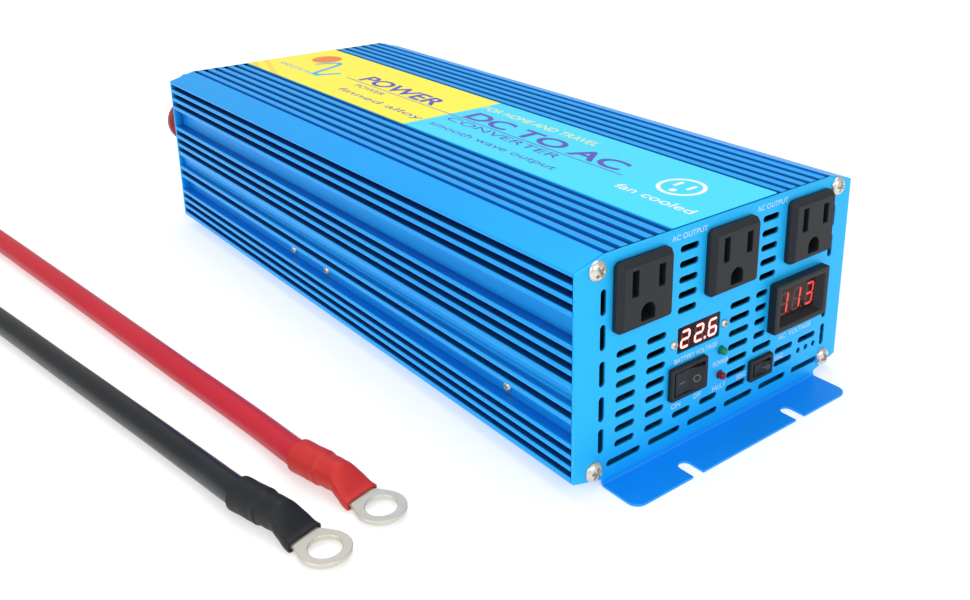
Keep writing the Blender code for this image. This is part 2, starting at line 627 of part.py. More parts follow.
def switches():
    rocker_switch("main_switch", MAIN_SWITCH, MAIN_SWITCH_SIZE, 0.0020, 0.014, 0.0020)
    rocker_switch("frequency_switch", FREQUENCY_SWITCH, FREQUENCY_SWITCH_SIZE, 0.0018, 0.011, 0.0016)


def led(name, z, look):
    dome = [(LED_RADIUS * math.sin(math.radians(a)), LED_PROUD - LED_RADIUS + LED_RADIUS * math.cos(math.radians(a)))
            for a in range(0, 91, 18)]
    profile = dome + [(LED_RADIUS, -0.0012 - SHEET), (0.0019, -0.0012 - SHEET), (0.0019, -0.0022 - SHEET),
                      (0, -0.0022 - SHEET)]
    turned(name, profile, (LED_X, FRONT_Y, z), "-Y", look, steps=16)


# ---- rear panel parts ---------------------------------------------------------------------------------
def fan(name, x):
    """A box fan: a square frame with a motor mount on three struts, and a bladed rotor."""
    back = REAR_Y - SHEET - GAP
    hub = 0.0085
    frame = box(f"{name}_frame", (FAN_SIZE, FAN_DEPTH, FAN_SIZE), (x, back - FAN_DEPTH / 2, FAN_Z), BLACK)
    combine(frame, [rod(f"{name}_bore", FAN_BORE, FAN_DEPTH + 0.002, (x, back + 0.001, FAN_Z), "-Y",
                        collection=cutters, steps=32)])
    mount = rod(f"{name}_mount", hub, 0.0025, (x, back - FAN_DEPTH + 0.0025, FAN_Z), "-Y", collection=cutters)
    struts = []
    for i in range(3):
        strut = box(f"{name}_strut_{i}", (FAN_BORE + 0.001 - hub / 2, 0.0018, 0.0030), (0, 0, 0), None, cutters)
        turn = math.radians(90 + 120 * i)
        reach = (FAN_BORE + 0.001 + hub / 2) / 2
        strut.location = (x + reach * math.cos(turn), back - FAN_DEPTH + 0.0012, FAN_Z + reach * math.sin(turn))
        strut.rotation_euler = (0, -turn, 0)
        struts.append(strut)
    combine(frame, [mount] + struts, "UNION")
    combine(frame, [rod(f"{name}_screw_hole_{i}", 0.0017, FAN_DEPTH + 0.002,
                        (x + sx * FAN_SCREW, back + 0.001, FAN_Z + sz * FAN_SCREW), "-Y", collection=cutters, steps=8)
                    for i, (sx, sz) in enumerate(((-1, -1), (-1, 1), (1, -1), (1, 1)))])
    rotor_length = FAN_DEPTH - 0.0025 - 0.0020
    rotor = turned(f"{name}_rotor", [(0, rotor_length), (hub - 0.0008, rotor_length), (hub, rotor_length - 0.0008),
                                     (hub, 0), (0, 0)],
                   (x, back - FAN_DEPTH + 0.0025 + 0.0005, FAN_Z), "+Y", BLACK, steps=28)
    blades = []
    for i in range(7):
        blade = box(f"{name}_blade_{i}", (FAN_BORE - hub - 0.0003, 0.0012, 0.0120), (0, 0, 0), None, cutters)
        turn = 2 * math.pi * i / 7
        middle = (FAN_BORE + hub) / 2 - 0.00105
        blade.matrix_world = (
            Matrix.Translation((x, back - FAN_DEPTH + 0.0100, FAN_Z))
            @ Matrix.Rotation(turn, 4, "Y") @ Matrix.Translation((middle, 0, 0)) @ Matrix.Rotation(math.radians(50), 4, "X")
        )
        blades.append(blade)
    combine(rotor, blades, "UNION")


def terminal(name, x, look):
    """An insulating bush through the panel, a brass stud and a moulded clamping nut."""
    bush = [(0.0044, 0.0050), (TERMINAL_RADIUS, 0.0050), (TERMINAL_RADIUS, GAP), (0.0059, GAP), (0.0059, -0.0080),
            (0.0044, -0.0080), (0.0044, 0.0050)]
    turned(f"{name}_bush", bush, (x, REAR_Y, TERMINAL_Z), "+Y", look)
    stud = [(0, TERMINAL_REACH), (0.0033, TERMINAL_REACH), (0.0040, TERMINAL_REACH - 0.0010), (0.0040, -0.0083),
            (0.0070, -0.0083), (0.0070, -0.0130), (0, -0.0130)]
    turned(f"{name}_stud", stud, (x, REAR_Y, TERMINAL_Z), "+Y", BRASS)
    low, high, bore = 0.0050 + GAP, 0.0220, 0.0040 + CLEAR
    waist = TERMINAL_RADIUS - 0.0015
    nut = [(bore, high), (TERMINAL_RADIUS - 0.0008, high), (TERMINAL_RADIUS, high - 0.0008),
           (TERMINAL_RADIUS, high - 0.0040), (waist, high - 0.0050), (waist, low), (bore, low), (bore, high)]
    knob = turned(f"{name}_nut", nut, (x, REAR_Y, TERMINAL_Z), "+Y", look)
    flutes = [rod(f"{name}_flute_{i}", 0.0024, high - 0.0050 - low,
                  (x + (waist + 0.0014) * math.cos(math.pi * i / 4), REAR_Y + low - 0.0002,
                   TERMINAL_Z + (waist + 0.0014) * math.sin(math.pi * i / 4)),
                  "+Y", collection=cutters, steps=8) for i in range(8)]
    combine(knob, flutes)


def earth_terminal():
    stud = [(0, 0.0130), (0.0018, 0.0130), (0.0021, 0.0125), (0.0021, -0.0050 - SHEET), (0, -0.0050 - SHEET)]
    turned("earth_stud", stud, (0, REAR_Y, EARTH_Z), "+Y", BRASS, steps=16)
    bore = 0.0021 + CLEAR
    nut = outline("earth_nut", [circle(0, 0, 0.0046, 6), circle(0, 0, bore, 12)], 0.0034, BRASS,
                  (0, REAR_Y + GAP + 0.0017, EARTH_Z))
    nut.data.materials[0] = material(**BRASS)


# ---- inside -------------------------------------------------------------------------------------------
BAR_THICKNESS = 0.0060
BAR_HEIGHT = 0.0260
BAR_LENGTH = 0.2300
BAR_START = 0.01675  # from the front panel's face
BOARD_TOP = BOARD_Z + BOARD_THICKNESS


def circuit_board():
    width = 2 * (INNER_HALF - CLEAR)
    length = BODY_LENGTH - FAN_DEPTH - OUTLET_DEPTH - 0.012
    y = MID_Y - FAN_DEPTH / 2 + OUTLET_DEPTH / 2
    box("circuit_board", (width, length, BOARD_THICKNESS), (0, y, BOARD_Z + BOARD_THICKNESS / 2), BOARD)


def transistor_bars():
    """Aluminium bars on the case walls that the power transistors clamp to."""
    low = BOARD_TOP + CLEAR + RAIL_HEIGHT + CLEAR
    for side, sx in (("left", -1), ("right", 1)):
        x = sx * (INNER_HALF - GAP - BAR_THICKNESS / 2)
        bar = box(f"transistor_bar_{side}", (BAR_THICKNESS, BAR_LENGTH, BAR_HEIGHT),
                  (x, FRONT_Y + BAR_START + BAR_LENGTH / 2, low + BAR_HEIGHT / 2), ALUMINIUM)
        combine(bar, [rod(f"bar_hole_{side}_{i}", SIDE_SCREW_RADIUS + CLEAR, 0.0060,
                          (sx * (INNER_HALF + 0.001), y, SIDE_SCREW_Z), "-X" if sx > 0 else "+X",
                          collection=cutters, steps=12) for i, y in enumerate(SIDE_SCREW_Y)])


def transformer(name, x, y):
    """Two ferrite E halves around a taped winding."""
    base = BOARD_TOP + GAP
    core = box(name, (0.042, 0.020, 0.042), (x, y, base + 0.021), FERRITE, bevel=0.0008)
    winding = box(f"{name}_winding", (0.030, 0.036, 0.030), (x, y, base + 0.021), None, cutters, bevel=0.004)
    combine(core, [winding], "UNION")


def capacitor(name, x, y):
    profile = [(0, 0.0400), (0.0110, 0.0400), (0.0125, 0.0385), (0.0125, 0.0020), (0.0118, 0.0010), (0.0118, 0), (0, 0)]
    turned(name, profile, (x, y, BOARD_TOP + GAP), "+Z", CAN)


def inductor(name, x, y):
    """A wound toroid standing on its edge, on a flat foot."""
    base = BOARD_TOP + GAP
    data = bmesh.new()
    turns, around_count = 20, 8
    for i in range(turns):
        turn = 2 * math.pi * i / turns
        for j in range(around_count):
            around = 2 * math.pi * j / around_count
            reach = 0.0150 + 0.0055 * math.cos(around)
            data.verts.new((reach * math.cos(turn), 0.0080 * math.sin(around), reach * math.sin(turn)))
    data.verts.ensure_lookup_table()
    for i in range(turns):
        for j in range(around_count):
            after, beside = (i + 1) % turns, (j + 1) % around_count
            corners = [(i, j), (after, j), (after, beside), (i, beside)]
            data.faces.new([data.verts[a * around_count + b] for a, b in corners])
    bmesh.ops.recalc_face_normals(data, faces=data.faces)
    mesh = bpy.data.meshes.new(name)
    data.to_mesh(mesh)
    data.free()
    ring = add(bpy.data.objects.new(name, mesh), TAPE)
    ring.location = (x, y, base + 0.0215)
    combine(ring, [box(f"{name}_foot", (0.020, 0.014, 0.004), (x, y, base + 0.002), None, cutters)], "UNION")


def control_board():
    """The upright driver board."""
    box("control_board", (0.070, 0.0016, 0.034), (0, MID_Y + 0.020, BOARD_TOP + GAP + 0.017), BOARD)


# ---- battery cables -----------------------------------------------------------------------------------
def from_front(x, y):
    """A point on the floor plan, measured from the front panel's left corner."""
    return Vector((x - HALF, FRONT_Y + y))


# on the plan: the front lug's ring centre, the way each lug's cable leaves it, and the route between them
CABLE_RUNS = {
    "red": dict(
        ring=(-0.0544, 0.0372), heading=13.3, far_heading=7.0,
        route=[(-0.0652, 0.1000), (-0.0663, 0.1120), (-0.0688, 0.1360), (-0.0717, 0.1620), (-0.0744, 0.1880), (-0.0772, 0.2150),
               (-0.0799, 0.2410), (-0.0827, 0.2680), (-0.0854, 0.2940), (-0.0882, 0.3200), (-0.0909, 0.3460),
               (-0.0936, 0.3710), (-0.0963, 0.3960), (-0.0994, 0.4220), (-0.1029, 0.4480), (-0.1066, 0.4740),
               (-0.1104, 0.5000), (-0.1142, 0.5260), (-0.1178, 0.5520), (-0.1211, 0.5780), (-0.1240, 0.6020)]),
    "black": dict(
        ring=(-0.0797, 0.0303), heading=15.2, far_heading=8.0,
        route=[(-0.0932, 0.0930), (-0.0951, 0.1060), (-0.0985, 0.1290), (-0.1022, 0.1530), (-0.1058, 0.1770), (-0.1095, 0.2010),
               (-0.1132, 0.2260), (-0.1169, 0.2510), (-0.1207, 0.2760), (-0.1246, 0.3010), (-0.1286, 0.3260),
               (-0.1327, 0.3510), (-0.1369, 0.3760), (-0.1411, 0.4010), (-0.1453, 0.4260), (-0.1494, 0.4510),
               (-0.1534, 0.4760), (-0.1573, 0.5010), (-0.1611, 0.5260), (-0.1648, 0.5510), (-0.1684, 0.5760)]),
}


def smooth_run(points, spacing):
    """Points along a smooth curve through the given ones, evenly spaced."""
    ends = [points[0] * 2 - points[1]] + points + [points[-1] * 2 - points[-2]]
    fine = []
    for a, b, c, d in zip(ends, ends[1:], ends[2:], ends[3:]):
        for i in range(8):
            t = i / 8
            fine.append(0.5 * (2 * b + (c - a) * t + (2 * a - 5 * b + 4 * c - d) * t * t
                               + (3 * b - a - 3 * c + d) * t ** 3))
    fine.append(points[-1])
    total = sum((q - p).length for p, q in zip(fine, fine[1:]))
    count = round(total / spacing)
    made, walked, target = [fine[0]], 0.0, total / count
    for p, q in zip(fine, fine[1:]):
        step = (q - p).length
        while walked + step >= target - 1e-9 and len(made) < count:
            made.append(p.lerp(q, (target - walked) / step))
            target += total / count
        walked += step
    return made + [fine[-1]]


def way(heading):
    """The direction on the plan that lies this many degrees to the left of straight back."""
    turn = math.radians(heading)
    return Vector((-math.sin(turn), math.cos(turn)))


def cable(name, path, look):
    curve = bpy.data.curves.new(name, "CURVE")
    curve.dimensions = "3D"
    curve.bevel_depth = CABLE_RADIUS
    curve.bevel_resolution = 3
    curve.use_fill_caps = True
    spline = curve.splines.new("POLY")
    spline.points.add(len(path) - 1)
    for point, place in zip(spline.points, path):
        point.co = (*place, 1.0)
    add(bpy.data.objects.new(name, curve), look)


# along the lug from the ring's centre: half width, underside, top and squareness of the metal
TONGUE_SHAPE = (TONGUE_HALF, LUG_Z, LUG_Z + LUG_PLATE, 0.45)
BARREL_SHAPE = (BARREL_RADIUS, SLEEVED_Z - BARREL_RADIUS, SLEEVED_Z + BARREL_RADIUS, 1.0)
CABLE_SHAPE = (CABLE_RADIUS, SLEEVED_Z - CABLE_RADIUS, SLEEVED_Z + CABLE_RADIUS, 1.0)
LUG_STATIONS = [(0.0066, TONGUE_SHAPE), (0.0125, TONGUE_SHAPE), (BARREL_START, BARREL_SHAPE),
                (BARREL_END, BARREL_SHAPE)]
SLEEVE_STATIONS = [(0.0095, TONGUE_SHAPE), (0.0125, TONGUE_SHAPE), (BARREL_START, BARREL_SHAPE),
                   (BARREL_END, BARREL_SHAPE), (BARREL_END + 0.0009, CABLE_SHAPE), (0.0410, CABLE_SHAPE)]
SECTION_SIDES = 16


def sections(mesh, stations, offset):
    """Rings of vertices around the metal's sections, each that far outside it."""
    rings = []
    for along, (half, low, high, power) in stations:
        loop = []
        for i in range(SECTION_SIDES):
            turn = 2 * math.pi * i / SECTION_SIDES
            c, s = math.cos(turn), math.sin(turn)
            loop.append(mesh.verts.new((
                (half + offset) * math.copysign(abs(c) ** power, c), along,
                (low + high) / 2 + ((high - low) / 2 + offset) * math.copysign(abs(s) ** power, s))))
        rings.append(loop)
    return rings


def skinned(name, mesh, rings, ring, heading, look, collection=None):
    for a, b in zip(rings, rings[1:]):
        for i in range(SECTION_SIDES):
            mesh.faces.new((a[i], a[(i + 1) % SECTION_SIDES], b[(i + 1) % SECTION_SIDES], b[i]))
    if rings[0] is not rings[-1]:
        mesh.faces.new(rings[0])
        mesh.faces.new(rings[-1])
    bmesh.ops.recalc_face_normals(mesh, faces=mesh.faces)
    data = bpy.data.meshes.new(name)
    mesh.to_mesh(data)
    mesh.free()
    obj = add(bpy.data.objects.new(name, data), look, collection)
    obj.location = (*ring, 0)
    obj.rotation_euler = (0, 0, math.radians(heading))
    return obj


def lug(name, ring, heading):
    """A tinned ring lug: a flat ring, a tongue and a crimped barrel, whose cable leaves along heading."""
    eye = arc(0, 0, LUG_RING, 161, 379, 17) + [(TONGUE_HALF, 0.0088), (-TONGUE_HALF, 0.0088)]
    body = outline(name, [eye, circle(0, 0, LUG_HOLE, 16)], LUG_PLATE, TINNED,
                   (*ring, LUG_Z + LUG_PLATE / 2), flat=True)
    body.rotation_euler = (0, 0, math.radians(heading))
    mesh = bmesh.new()
    shank = skinned(f"{name}_shank", mesh, sections(mesh, LUG_STATIONS, 0.0), ring, heading, None, cutters)
    combine(body, [shank], "UNION")


def sleeve(name, ring, heading, look):
    """Heat-shrink sleeve over a lug's tongue and barrel and the end of its cable."""
    mesh = bmesh.new()
    outer = sections(mesh, SLEEVE_STATIONS, GAP + SLEEVE_WALL)
    inner = sections(mesh, SLEEVE_STATIONS, GAP)
    skinned(name, mesh, outer + inner[::-1] + outer[:1], ring, heading, look)


def battery_cable(colour, run, cable_look, sleeve_look):
    """A cable on the floor with a sleeved ring lug at each end."""
    near_way, far_way = way(run["heading"]), way(run["far_heading"])
    near_ring = from_front(*run["ring"])
    near = near_ring + near_way * CABLE_START
    far = from_front(*run["route"][-1]) + far_way * (0.020 + STRAIGHT)
    far_ring = far + far_way * CABLE_START
    plan = [(near + near_way * STRAIGHT, SLEEVED_Z)]
    plan += [(from_front(*place), CABLE_Z) for place in run["route"]]
    plan += [(far - far_way * STRAIGHT, SLEEVED_Z)]
    path = smooth_run([Vector((*place, height)) for place, height in plan], 0.022)
    path = [Vector((*near, SLEEVED_Z))] + path + [Vector((*far, SLEEVED_Z))]
    cable(f"{colour}_battery_cable", path, cable_look)
    for end, ring, heading in (("front", near_ring, run["heading"]), ("rear", far_ring, run["far_heading"] + 180)):
        lug(f"{colour}_lug_{end}", ring, heading)
        sleeve(f"{colour}_sleeve_{end}", ring, heading, sleeve_look)


def build():
    global parts, cutters
    for obj in list(bpy.data.objects):
        bpy.data.objects.remove(obj)
    parts = bpy.data.collections.new("power_inverter")
    cutters = bpy.data.collections.new("cutters")
    for collection in (parts, cutters):
        bpy.context.scene.collection.children.link(collection)
    upper_housing()
    lower_housing()
    label()
    front_panel()
    rear_panel()
    corner_screws()
    side_screws()
    for name, x in zip(("left", "middle", "right"), OUTLET_X):
        outlet(f"outlet_{name}", x)
    ac_voltmeter()
    battery_voltmeter()
    switches()
    led("power_led", LED_Z[0], GREEN_LED)
    led("fault_led", LED_Z[1], RED_LED)
    fan("fan_left", -FAN_X)
    fan("fan_right", FAN_X)
    terminal("red_terminal", -TERMINAL_X, RED)
    terminal("black_terminal", TERMINAL_X, BLACK)
    earth_terminal()
    circuit_board()
    transistor_bars()
    transformer("transformer_front", -0.020, MID_Y - 0.080)
    transformer("transformer_rear", 0.028, MID_Y - 0.040)
    capacitor("capacitor", 0.030, MID_Y + 0.070)
    inductor("output_inductor", -0.025, MID_Y + 0.080)
    control_board()
    battery_cable("red", CABLE_RUNS["red"], RED_CABLE, RED)
    battery_cable("black", CABLE_RUNS["black"], BLACK_CABLE, BLACK)


build()
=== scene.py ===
import math

import bmesh
import bpy
import numpy as np
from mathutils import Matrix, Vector


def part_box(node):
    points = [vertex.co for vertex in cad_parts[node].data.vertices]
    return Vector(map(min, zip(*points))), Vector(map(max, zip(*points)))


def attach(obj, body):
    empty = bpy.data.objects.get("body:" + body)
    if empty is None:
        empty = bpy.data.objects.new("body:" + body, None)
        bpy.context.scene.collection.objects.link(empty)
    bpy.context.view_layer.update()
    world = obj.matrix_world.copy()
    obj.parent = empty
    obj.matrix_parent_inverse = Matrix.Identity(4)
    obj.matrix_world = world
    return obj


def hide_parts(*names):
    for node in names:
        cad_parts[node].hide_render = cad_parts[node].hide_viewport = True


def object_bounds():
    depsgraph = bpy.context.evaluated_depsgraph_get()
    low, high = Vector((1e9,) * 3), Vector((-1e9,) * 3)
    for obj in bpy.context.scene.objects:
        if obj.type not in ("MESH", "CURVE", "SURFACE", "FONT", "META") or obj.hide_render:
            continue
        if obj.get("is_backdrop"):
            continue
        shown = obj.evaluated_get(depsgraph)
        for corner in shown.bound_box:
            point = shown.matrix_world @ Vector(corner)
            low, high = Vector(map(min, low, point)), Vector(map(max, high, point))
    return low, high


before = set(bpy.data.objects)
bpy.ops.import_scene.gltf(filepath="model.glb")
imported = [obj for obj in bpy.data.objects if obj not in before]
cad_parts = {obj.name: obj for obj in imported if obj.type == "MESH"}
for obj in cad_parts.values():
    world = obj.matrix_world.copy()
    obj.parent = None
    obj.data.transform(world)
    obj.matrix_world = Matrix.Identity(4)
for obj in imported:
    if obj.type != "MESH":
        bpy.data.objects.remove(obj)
cad_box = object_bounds()

# ---- Studio ---------------------------------------------------------------------------------------------
# A white sweep under soft light, as for a shop picture: a broad lamp over the left shoulder, a lower one
# facing the front panel and a long one above the lid.

scene = bpy.context.scene
mm = 0.001
shell_low, shell_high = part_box("upper_housing")
sheet_thickness = 1.0
front_y = shell_low[1] / mm - sheet_thickness - 0.3
rear_y = shell_high[1] / mm + sheet_thickness + 0.3
lid_z = shell_high[2] / mm

camera = bpy.data.cameras.new("camera")
camera.sensor_width = 36
camera.lens = 38.95
camera.shift_x = -0.0505
camera.shift_y = -0.1289
camera.clip_start = 0.01
viewer = bpy.data.objects.new("camera", camera)
viewer.location = (-0.28068, (front_y - 230.73) * mm, 0.22549)
viewer.rotation_euler = (math.radians(71.207), math.radians(0.182), math.radians(-39.348))
scene.collection.objects.link(viewer)
scene.camera = viewer
scene.view_settings.view_transform = "Standard"


def lamp(name, place, target, size, power, colour=(1, 1, 1)):
    """A soft rectangular lamp aimed at a point."""
    light = bpy.data.lights.new(name, "AREA")
    light.shape = "RECTANGLE"
    light.size, light.size_y = size
    light.energy = power
    light.color = colour
    held = bpy.data.objects.new(name, light)
    held.location = place
    held.rotation_euler = (Vector(target) - Vector(place)).to_track_quat("-Z", "Y").to_euler()
    scene.collection.objects.link(held)


lamp("left_lamp", (-1.5, -0.3, 0.9), (0, 0, 0.05), (0.9, 0.7), 9)
lamp("front_lamp", (-0.3, -1.6, 1.0), (0, -0.1, 0.05), (1.0, 0.7), 10)
lamp("top_lamp", (0.2, 0.3, 1.7), (0, 0, 0.05), (1.2, 1.2), 13)

world = bpy.data.worlds.new("white_room")
world.use_nodes = True
world.node_tree.nodes["Background"].inputs["Color"].default_value = (1, 1, 1, 1)
world.node_tree.nodes["Background"].inputs["Strength"].default_value = 0.55
scene.world = world

sweep = bpy.data.meshes.new("sweep")
sweep.from_pydata([(-6, -6, 0), (6, -6, 0), (6, 6, 0), (-6, 6, 0)], [], [(0, 1, 2, 3)])
sweep_object = bpy.data.objects.new("sweep", sweep)
scene.collection.objects.link(sweep_object)
sweep_object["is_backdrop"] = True
paper = bpy.data.materials.new("white_paper")
paper.use_nodes = True
paper_shader = paper.node_tree.nodes["Principled BSDF"]
for socket, value in (("Base Color", (0.62, 0.62, 0.62, 1)), ("Roughness", 0.9), ("Specular IOR Level", 0.0),
                      ("Emission Color", (1, 1, 1, 1)), ("Emission Strength", 0.46)):
    paper_shader.inputs[socket].default_value = value
sweep.materials.append(paper)

# ---- Finishes and pieces --------------------------------------------------------------------------------
# Every finish takes its colour, roughness and fine relief from one node group, and every piece is a mesh made
# from patches of quads in millimetres.


def surface_material(name, colour, shade=None, roughness=0.4, spread=0.08, grain=400.0, stretch=(1, 1, 1),
                     depth=0.02, metallic=0.0, coat=0.0, specular=0.5):
    """A finish whose colour drifts towards shade and whose roughness and fine relief follow the grain group."""
    made = bpy.data.materials.new(name)
    made.use_nodes = True
    tree = made.node_tree
    shader = tree.nodes["Principled BSDF"]
    shader.inputs["Metallic"].default_value = metallic
    shader.inputs["Specular IOR Level"].default_value = specular
    shader.inputs["Coat Weight"].default_value = coat
    shader.inputs["Coat Roughness"].default_value = 0.12
    group = tree.nodes.new("ShaderNodeGroup")
    group.node_tree = grain_group
    group.inputs["Colour"].default_value = (*colour, 1)
    group.inputs["Shade"].default_value = (*(shade or tuple(c * 0.8 for c in colour)), 1)
    group.inputs["Scale"].default_value = grain
    group.inputs["Stretch"].default_value = stretch
    group.inputs["Roughness"].default_value = roughness
    group.inputs["Spread"].default_value = spread
    bump = tree.nodes.new("ShaderNodeBump")
    bump.inputs["Distance"].default_value = 0.0002
    bump.inputs["Strength"].default_value = depth
    tree.links.new(group.outputs["Colour"], shader.inputs["Base Color"])
    tree.links.new(group.outputs["Roughness"], shader.inputs["Roughness"])
    tree.links.new(group.outputs["Height"], bump.inputs["Height"])
    tree.links.new(bump.outputs["Normal"], shader.inputs["Normal"])
    return made


grain_group = bpy.data.node_groups.new("surface_grain", "ShaderNodeTree")
for socket, kind in (("Colour", "NodeSocketColor"), ("Shade", "NodeSocketColor"), ("Scale", "NodeSocketFloat"),
                     ("Stretch", "NodeSocketVector"), ("Roughness", "NodeSocketFloat"),
                     ("Spread", "NodeSocketFloat")):
    grain_group.interface.new_socket(socket, in_out="INPUT", socket_type=kind)
for socket, kind in (("Colour", "NodeSocketColor"), ("Roughness", "NodeSocketFloat"), ("Height", "NodeSocketFloat")):
    grain_group.interface.new_socket(socket, in_out="OUTPUT", socket_type=kind)


def linked(tree, kind, settings=None, **sources):
    """A node with each input set to a value or joined to another node's output."""
    node = tree.nodes.new(kind)
    for key, value in (settings or {}).items():
        setattr(node, key, value)
    for key, value in sources.items():
        socket = node.inputs[int(key[1:])] if key[1:].isdigit() else node.inputs[key]
        if isinstance(value, bpy.types.NodeSocket):
            tree.links.new(value, socket)
        else:
            socket.default_value = value
    return node


def blend(tree, factor, first, second):
    """The colour that lies a factor of the way from the first to the second."""
    return linked(tree, "ShaderNodeMix", {"data_type": "RGBA"}, Factor=factor, i6=first, i7=second).outputs[2]


def grain_colour(made):
    """The colour that a finish takes from its grain group."""
    return next(node for node in made.node_tree.nodes if node.type == "GROUP").outputs["Colour"]


given = grain_group.nodes.new("NodeGroupInput").outputs
place = grain_group.nodes.new("ShaderNodeTexCoord").outputs["Object"]
drawn = linked(grain_group, "ShaderNodeVectorMath", {"operation": "MULTIPLY"}, i0=place, i1=given["Stretch"])
fine = linked(grain_group, "ShaderNodeTexNoise", Vector=drawn.outputs[0], Scale=given["Scale"], Detail=4.0)
broad = linked(grain_group, "ShaderNodeTexNoise", Vector=place, Scale=18.0, Detail=2.0)
mixed = blend(grain_group, broad.outputs["Fac"], given["Colour"], given["Shade"])
centred = linked(grain_group, "ShaderNodeMath", {"operation": "SUBTRACT"}, i0=fine.outputs["Fac"], i1=0.5)
varied = linked(grain_group, "ShaderNodeMath", {"operation": "MULTIPLY_ADD"}, i0=centred.outputs[0],
                i1=given["Spread"], i2=given["Roughness"])
taken = grain_group.nodes.new("NodeGroupOutput").inputs
grain_group.links.new(mixed, taken["Colour"])
grain_group.links.new(varied.outputs[0], taken["Roughness"])
grain_group.links.new(fine.outputs["Fac"], taken["Height"])


def patch(points, around=False, along=False, caps=False):
    """Quads over a grid of points, joined round in either direction, with its first and last rows filled."""
    points = np.asarray(points, float)
    rows, columns = points.shape[:2]
    index = np.arange(rows * columns).reshape(rows, columns)
    if along:
        index = np.vstack([index, index[:1]])
    if around:
        index = np.hstack([index, index[:, :1]])
    quads = np.stack([index[:-1, :-1], index[:-1, 1:], index[1:, 1:], index[1:, :-1]], -1).reshape(-1, 4).tolist()
    if caps:
        quads += [list(range(columns)), list(range((rows - 1) * columns, rows * columns))]
    return points.reshape(-1, 3), quads


def coordinates(mesh):
    """A mesh's points as rows of x, y and z, in metres."""
    points = np.zeros(len(mesh.vertices) * 3)
    mesh.vertices.foreach_get("co", points)
    return points.reshape(-1, 3)


def piece(name, patches, look, slot, *replaced, body="inverter", sharp=35):
    """One object from patches in millimetres, riding on a body and standing for the named CAD nodes."""
    points, faces, base = [], [], 0
    for some, quads in patches:
        points.append(some)
        faces += [[i + base for i in quad] for quad in quads]
        base += len(some)
    mesh = bpy.data.meshes.new(name)
    mesh.from_pydata((np.vstack(points) * mm).tolist(), [], faces)
    shape = bmesh.new()
    shape.from_mesh(mesh)
    bmesh.ops.remove_doubles(shape, verts=shape.verts, dist=1e-7)
    bmesh.ops.recalc_face_normals(shape, faces=shape.faces)
    shape.to_mesh(mesh)
    shape.free()
    return kept(bpy.data.objects.new(name, mesh), look, slot, *replaced, body=body, sharp=sharp)


def kept(shown, look, slot, *replaced, body="inverter", sharp=35):
    """The object finished, placed on its body and standing for the named CAD nodes."""
    shown.data.shade_smooth()
    shown.data.set_sharp_from_angle(angle=math.radians(sharp))
    shown.data.materials.clear()
    shown.data.materials.append(look)
    scene.collection.objects.link(shown)
    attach(shown, body)
    if replaced:
        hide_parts(*replaced)
    return shown


# ---- Battery cables -------------------------------------------------------------------------------------
# A red and a black stranded copper cable in soft PVC sheath, drawn through a die, so the sheath is smooth
# with faint lines along it. They lie loose on the floor beside the case.

cable_radius, barrel_radius = 5.0, 4.6
floor_gap = 0.3
sleeve_wall = 0.9
lug_z = floor_gap + sleeve_wall + 0.3
sleeved_z = lug_z + cable_radius
eye_radius, eye_hole, lug_plate = 8.9, 5.6, 1.8
tongue_half = 6.0
tongue_start, tongue_end = 6.6, 9.5
barrel_start, barrel_end, sleeve_end = 20.5, 27.0, 41.0
cable_start = barrel_end + 1.2
straight, last_gap = 14.5, 20.0
cable_runs = {
    "red": dict(ring=(-54.4, 37.2), heading=13.3, far_heading=7.0, route=[
        (-65.2, 100), (-66.3, 112), (-68.8, 136), (-71.7, 162), (-74.4, 188), (-77.2, 215), (-79.9, 241), (-82.7, 268),
        (-85.4, 294), (-88.2, 320), (-90.9, 346), (-93.6, 371), (-96.3, 396), (-99.4, 422), (-102.9, 448),
        (-106.6, 474), (-110.4, 500), (-114.2, 526), (-117.8, 552), (-121.1, 578), (-124, 602)]),
    "black": dict(ring=(-79.7, 30.3), heading=15.2, far_heading=8.0, route=[
        (-93.2, 93), (-95.1, 106), (-98.5, 129), (-102.2, 153), (-105.8, 177), (-109.5, 201), (-113.2, 226),
        (-116.9, 251), (-120.7, 276), (-124.6, 301), (-128.6, 326), (-132.7, 351), (-136.9, 376), (-141.1, 401),
        (-145.3, 426), (-149.4, 451), (-153.4, 476), (-157.3, 501), (-161.1, 526), (-164.8, 551), (-168.4, 576)]),
}


def way(heading):
    """The direction on the floor that lies so many degrees to the left of straight back."""
    turn = math.radians(heading)
    return np.array([-math.sin(turn), math.cos(turn), 0.0])


def on_plan(x, y, z=0.0):
    """A point measured from the front panel's left corner."""
    return np.array([x - 75.0, front_y + y, z])


def smooth_path(points, step):
    """A Catmull-Rom curve through the points: a cubic between each two whose ends follow their neighbours."""
    ends = np.vstack([2 * points[0] - points[1], points, 2 * points[-1] - points[-2]])
    a, b, c, d = (ends[i:len(ends) - 3 + i, None] for i in range(4))
    t = np.linspace(0, 1, 24, endpoint=False)[None, :, None]
    fine = 0.5 * (2 * b + (c - a) * t + (2 * a - 5 * b + 4 * c - d) * t ** 2 + (3 * b - a - 3 * c + d) * t ** 3)
    fine = np.vstack([fine.reshape(-1, 3), points[-1:]])
    run = np.concatenate([[0], np.cumsum(np.linalg.norm(np.diff(fine, axis=0), axis=1))])
    even = np.linspace(0, run[-1], round(run[-1] / step) + 1)
    return np.stack([np.interp(even, run, fine[:, k]) for k in range(3)], -1)


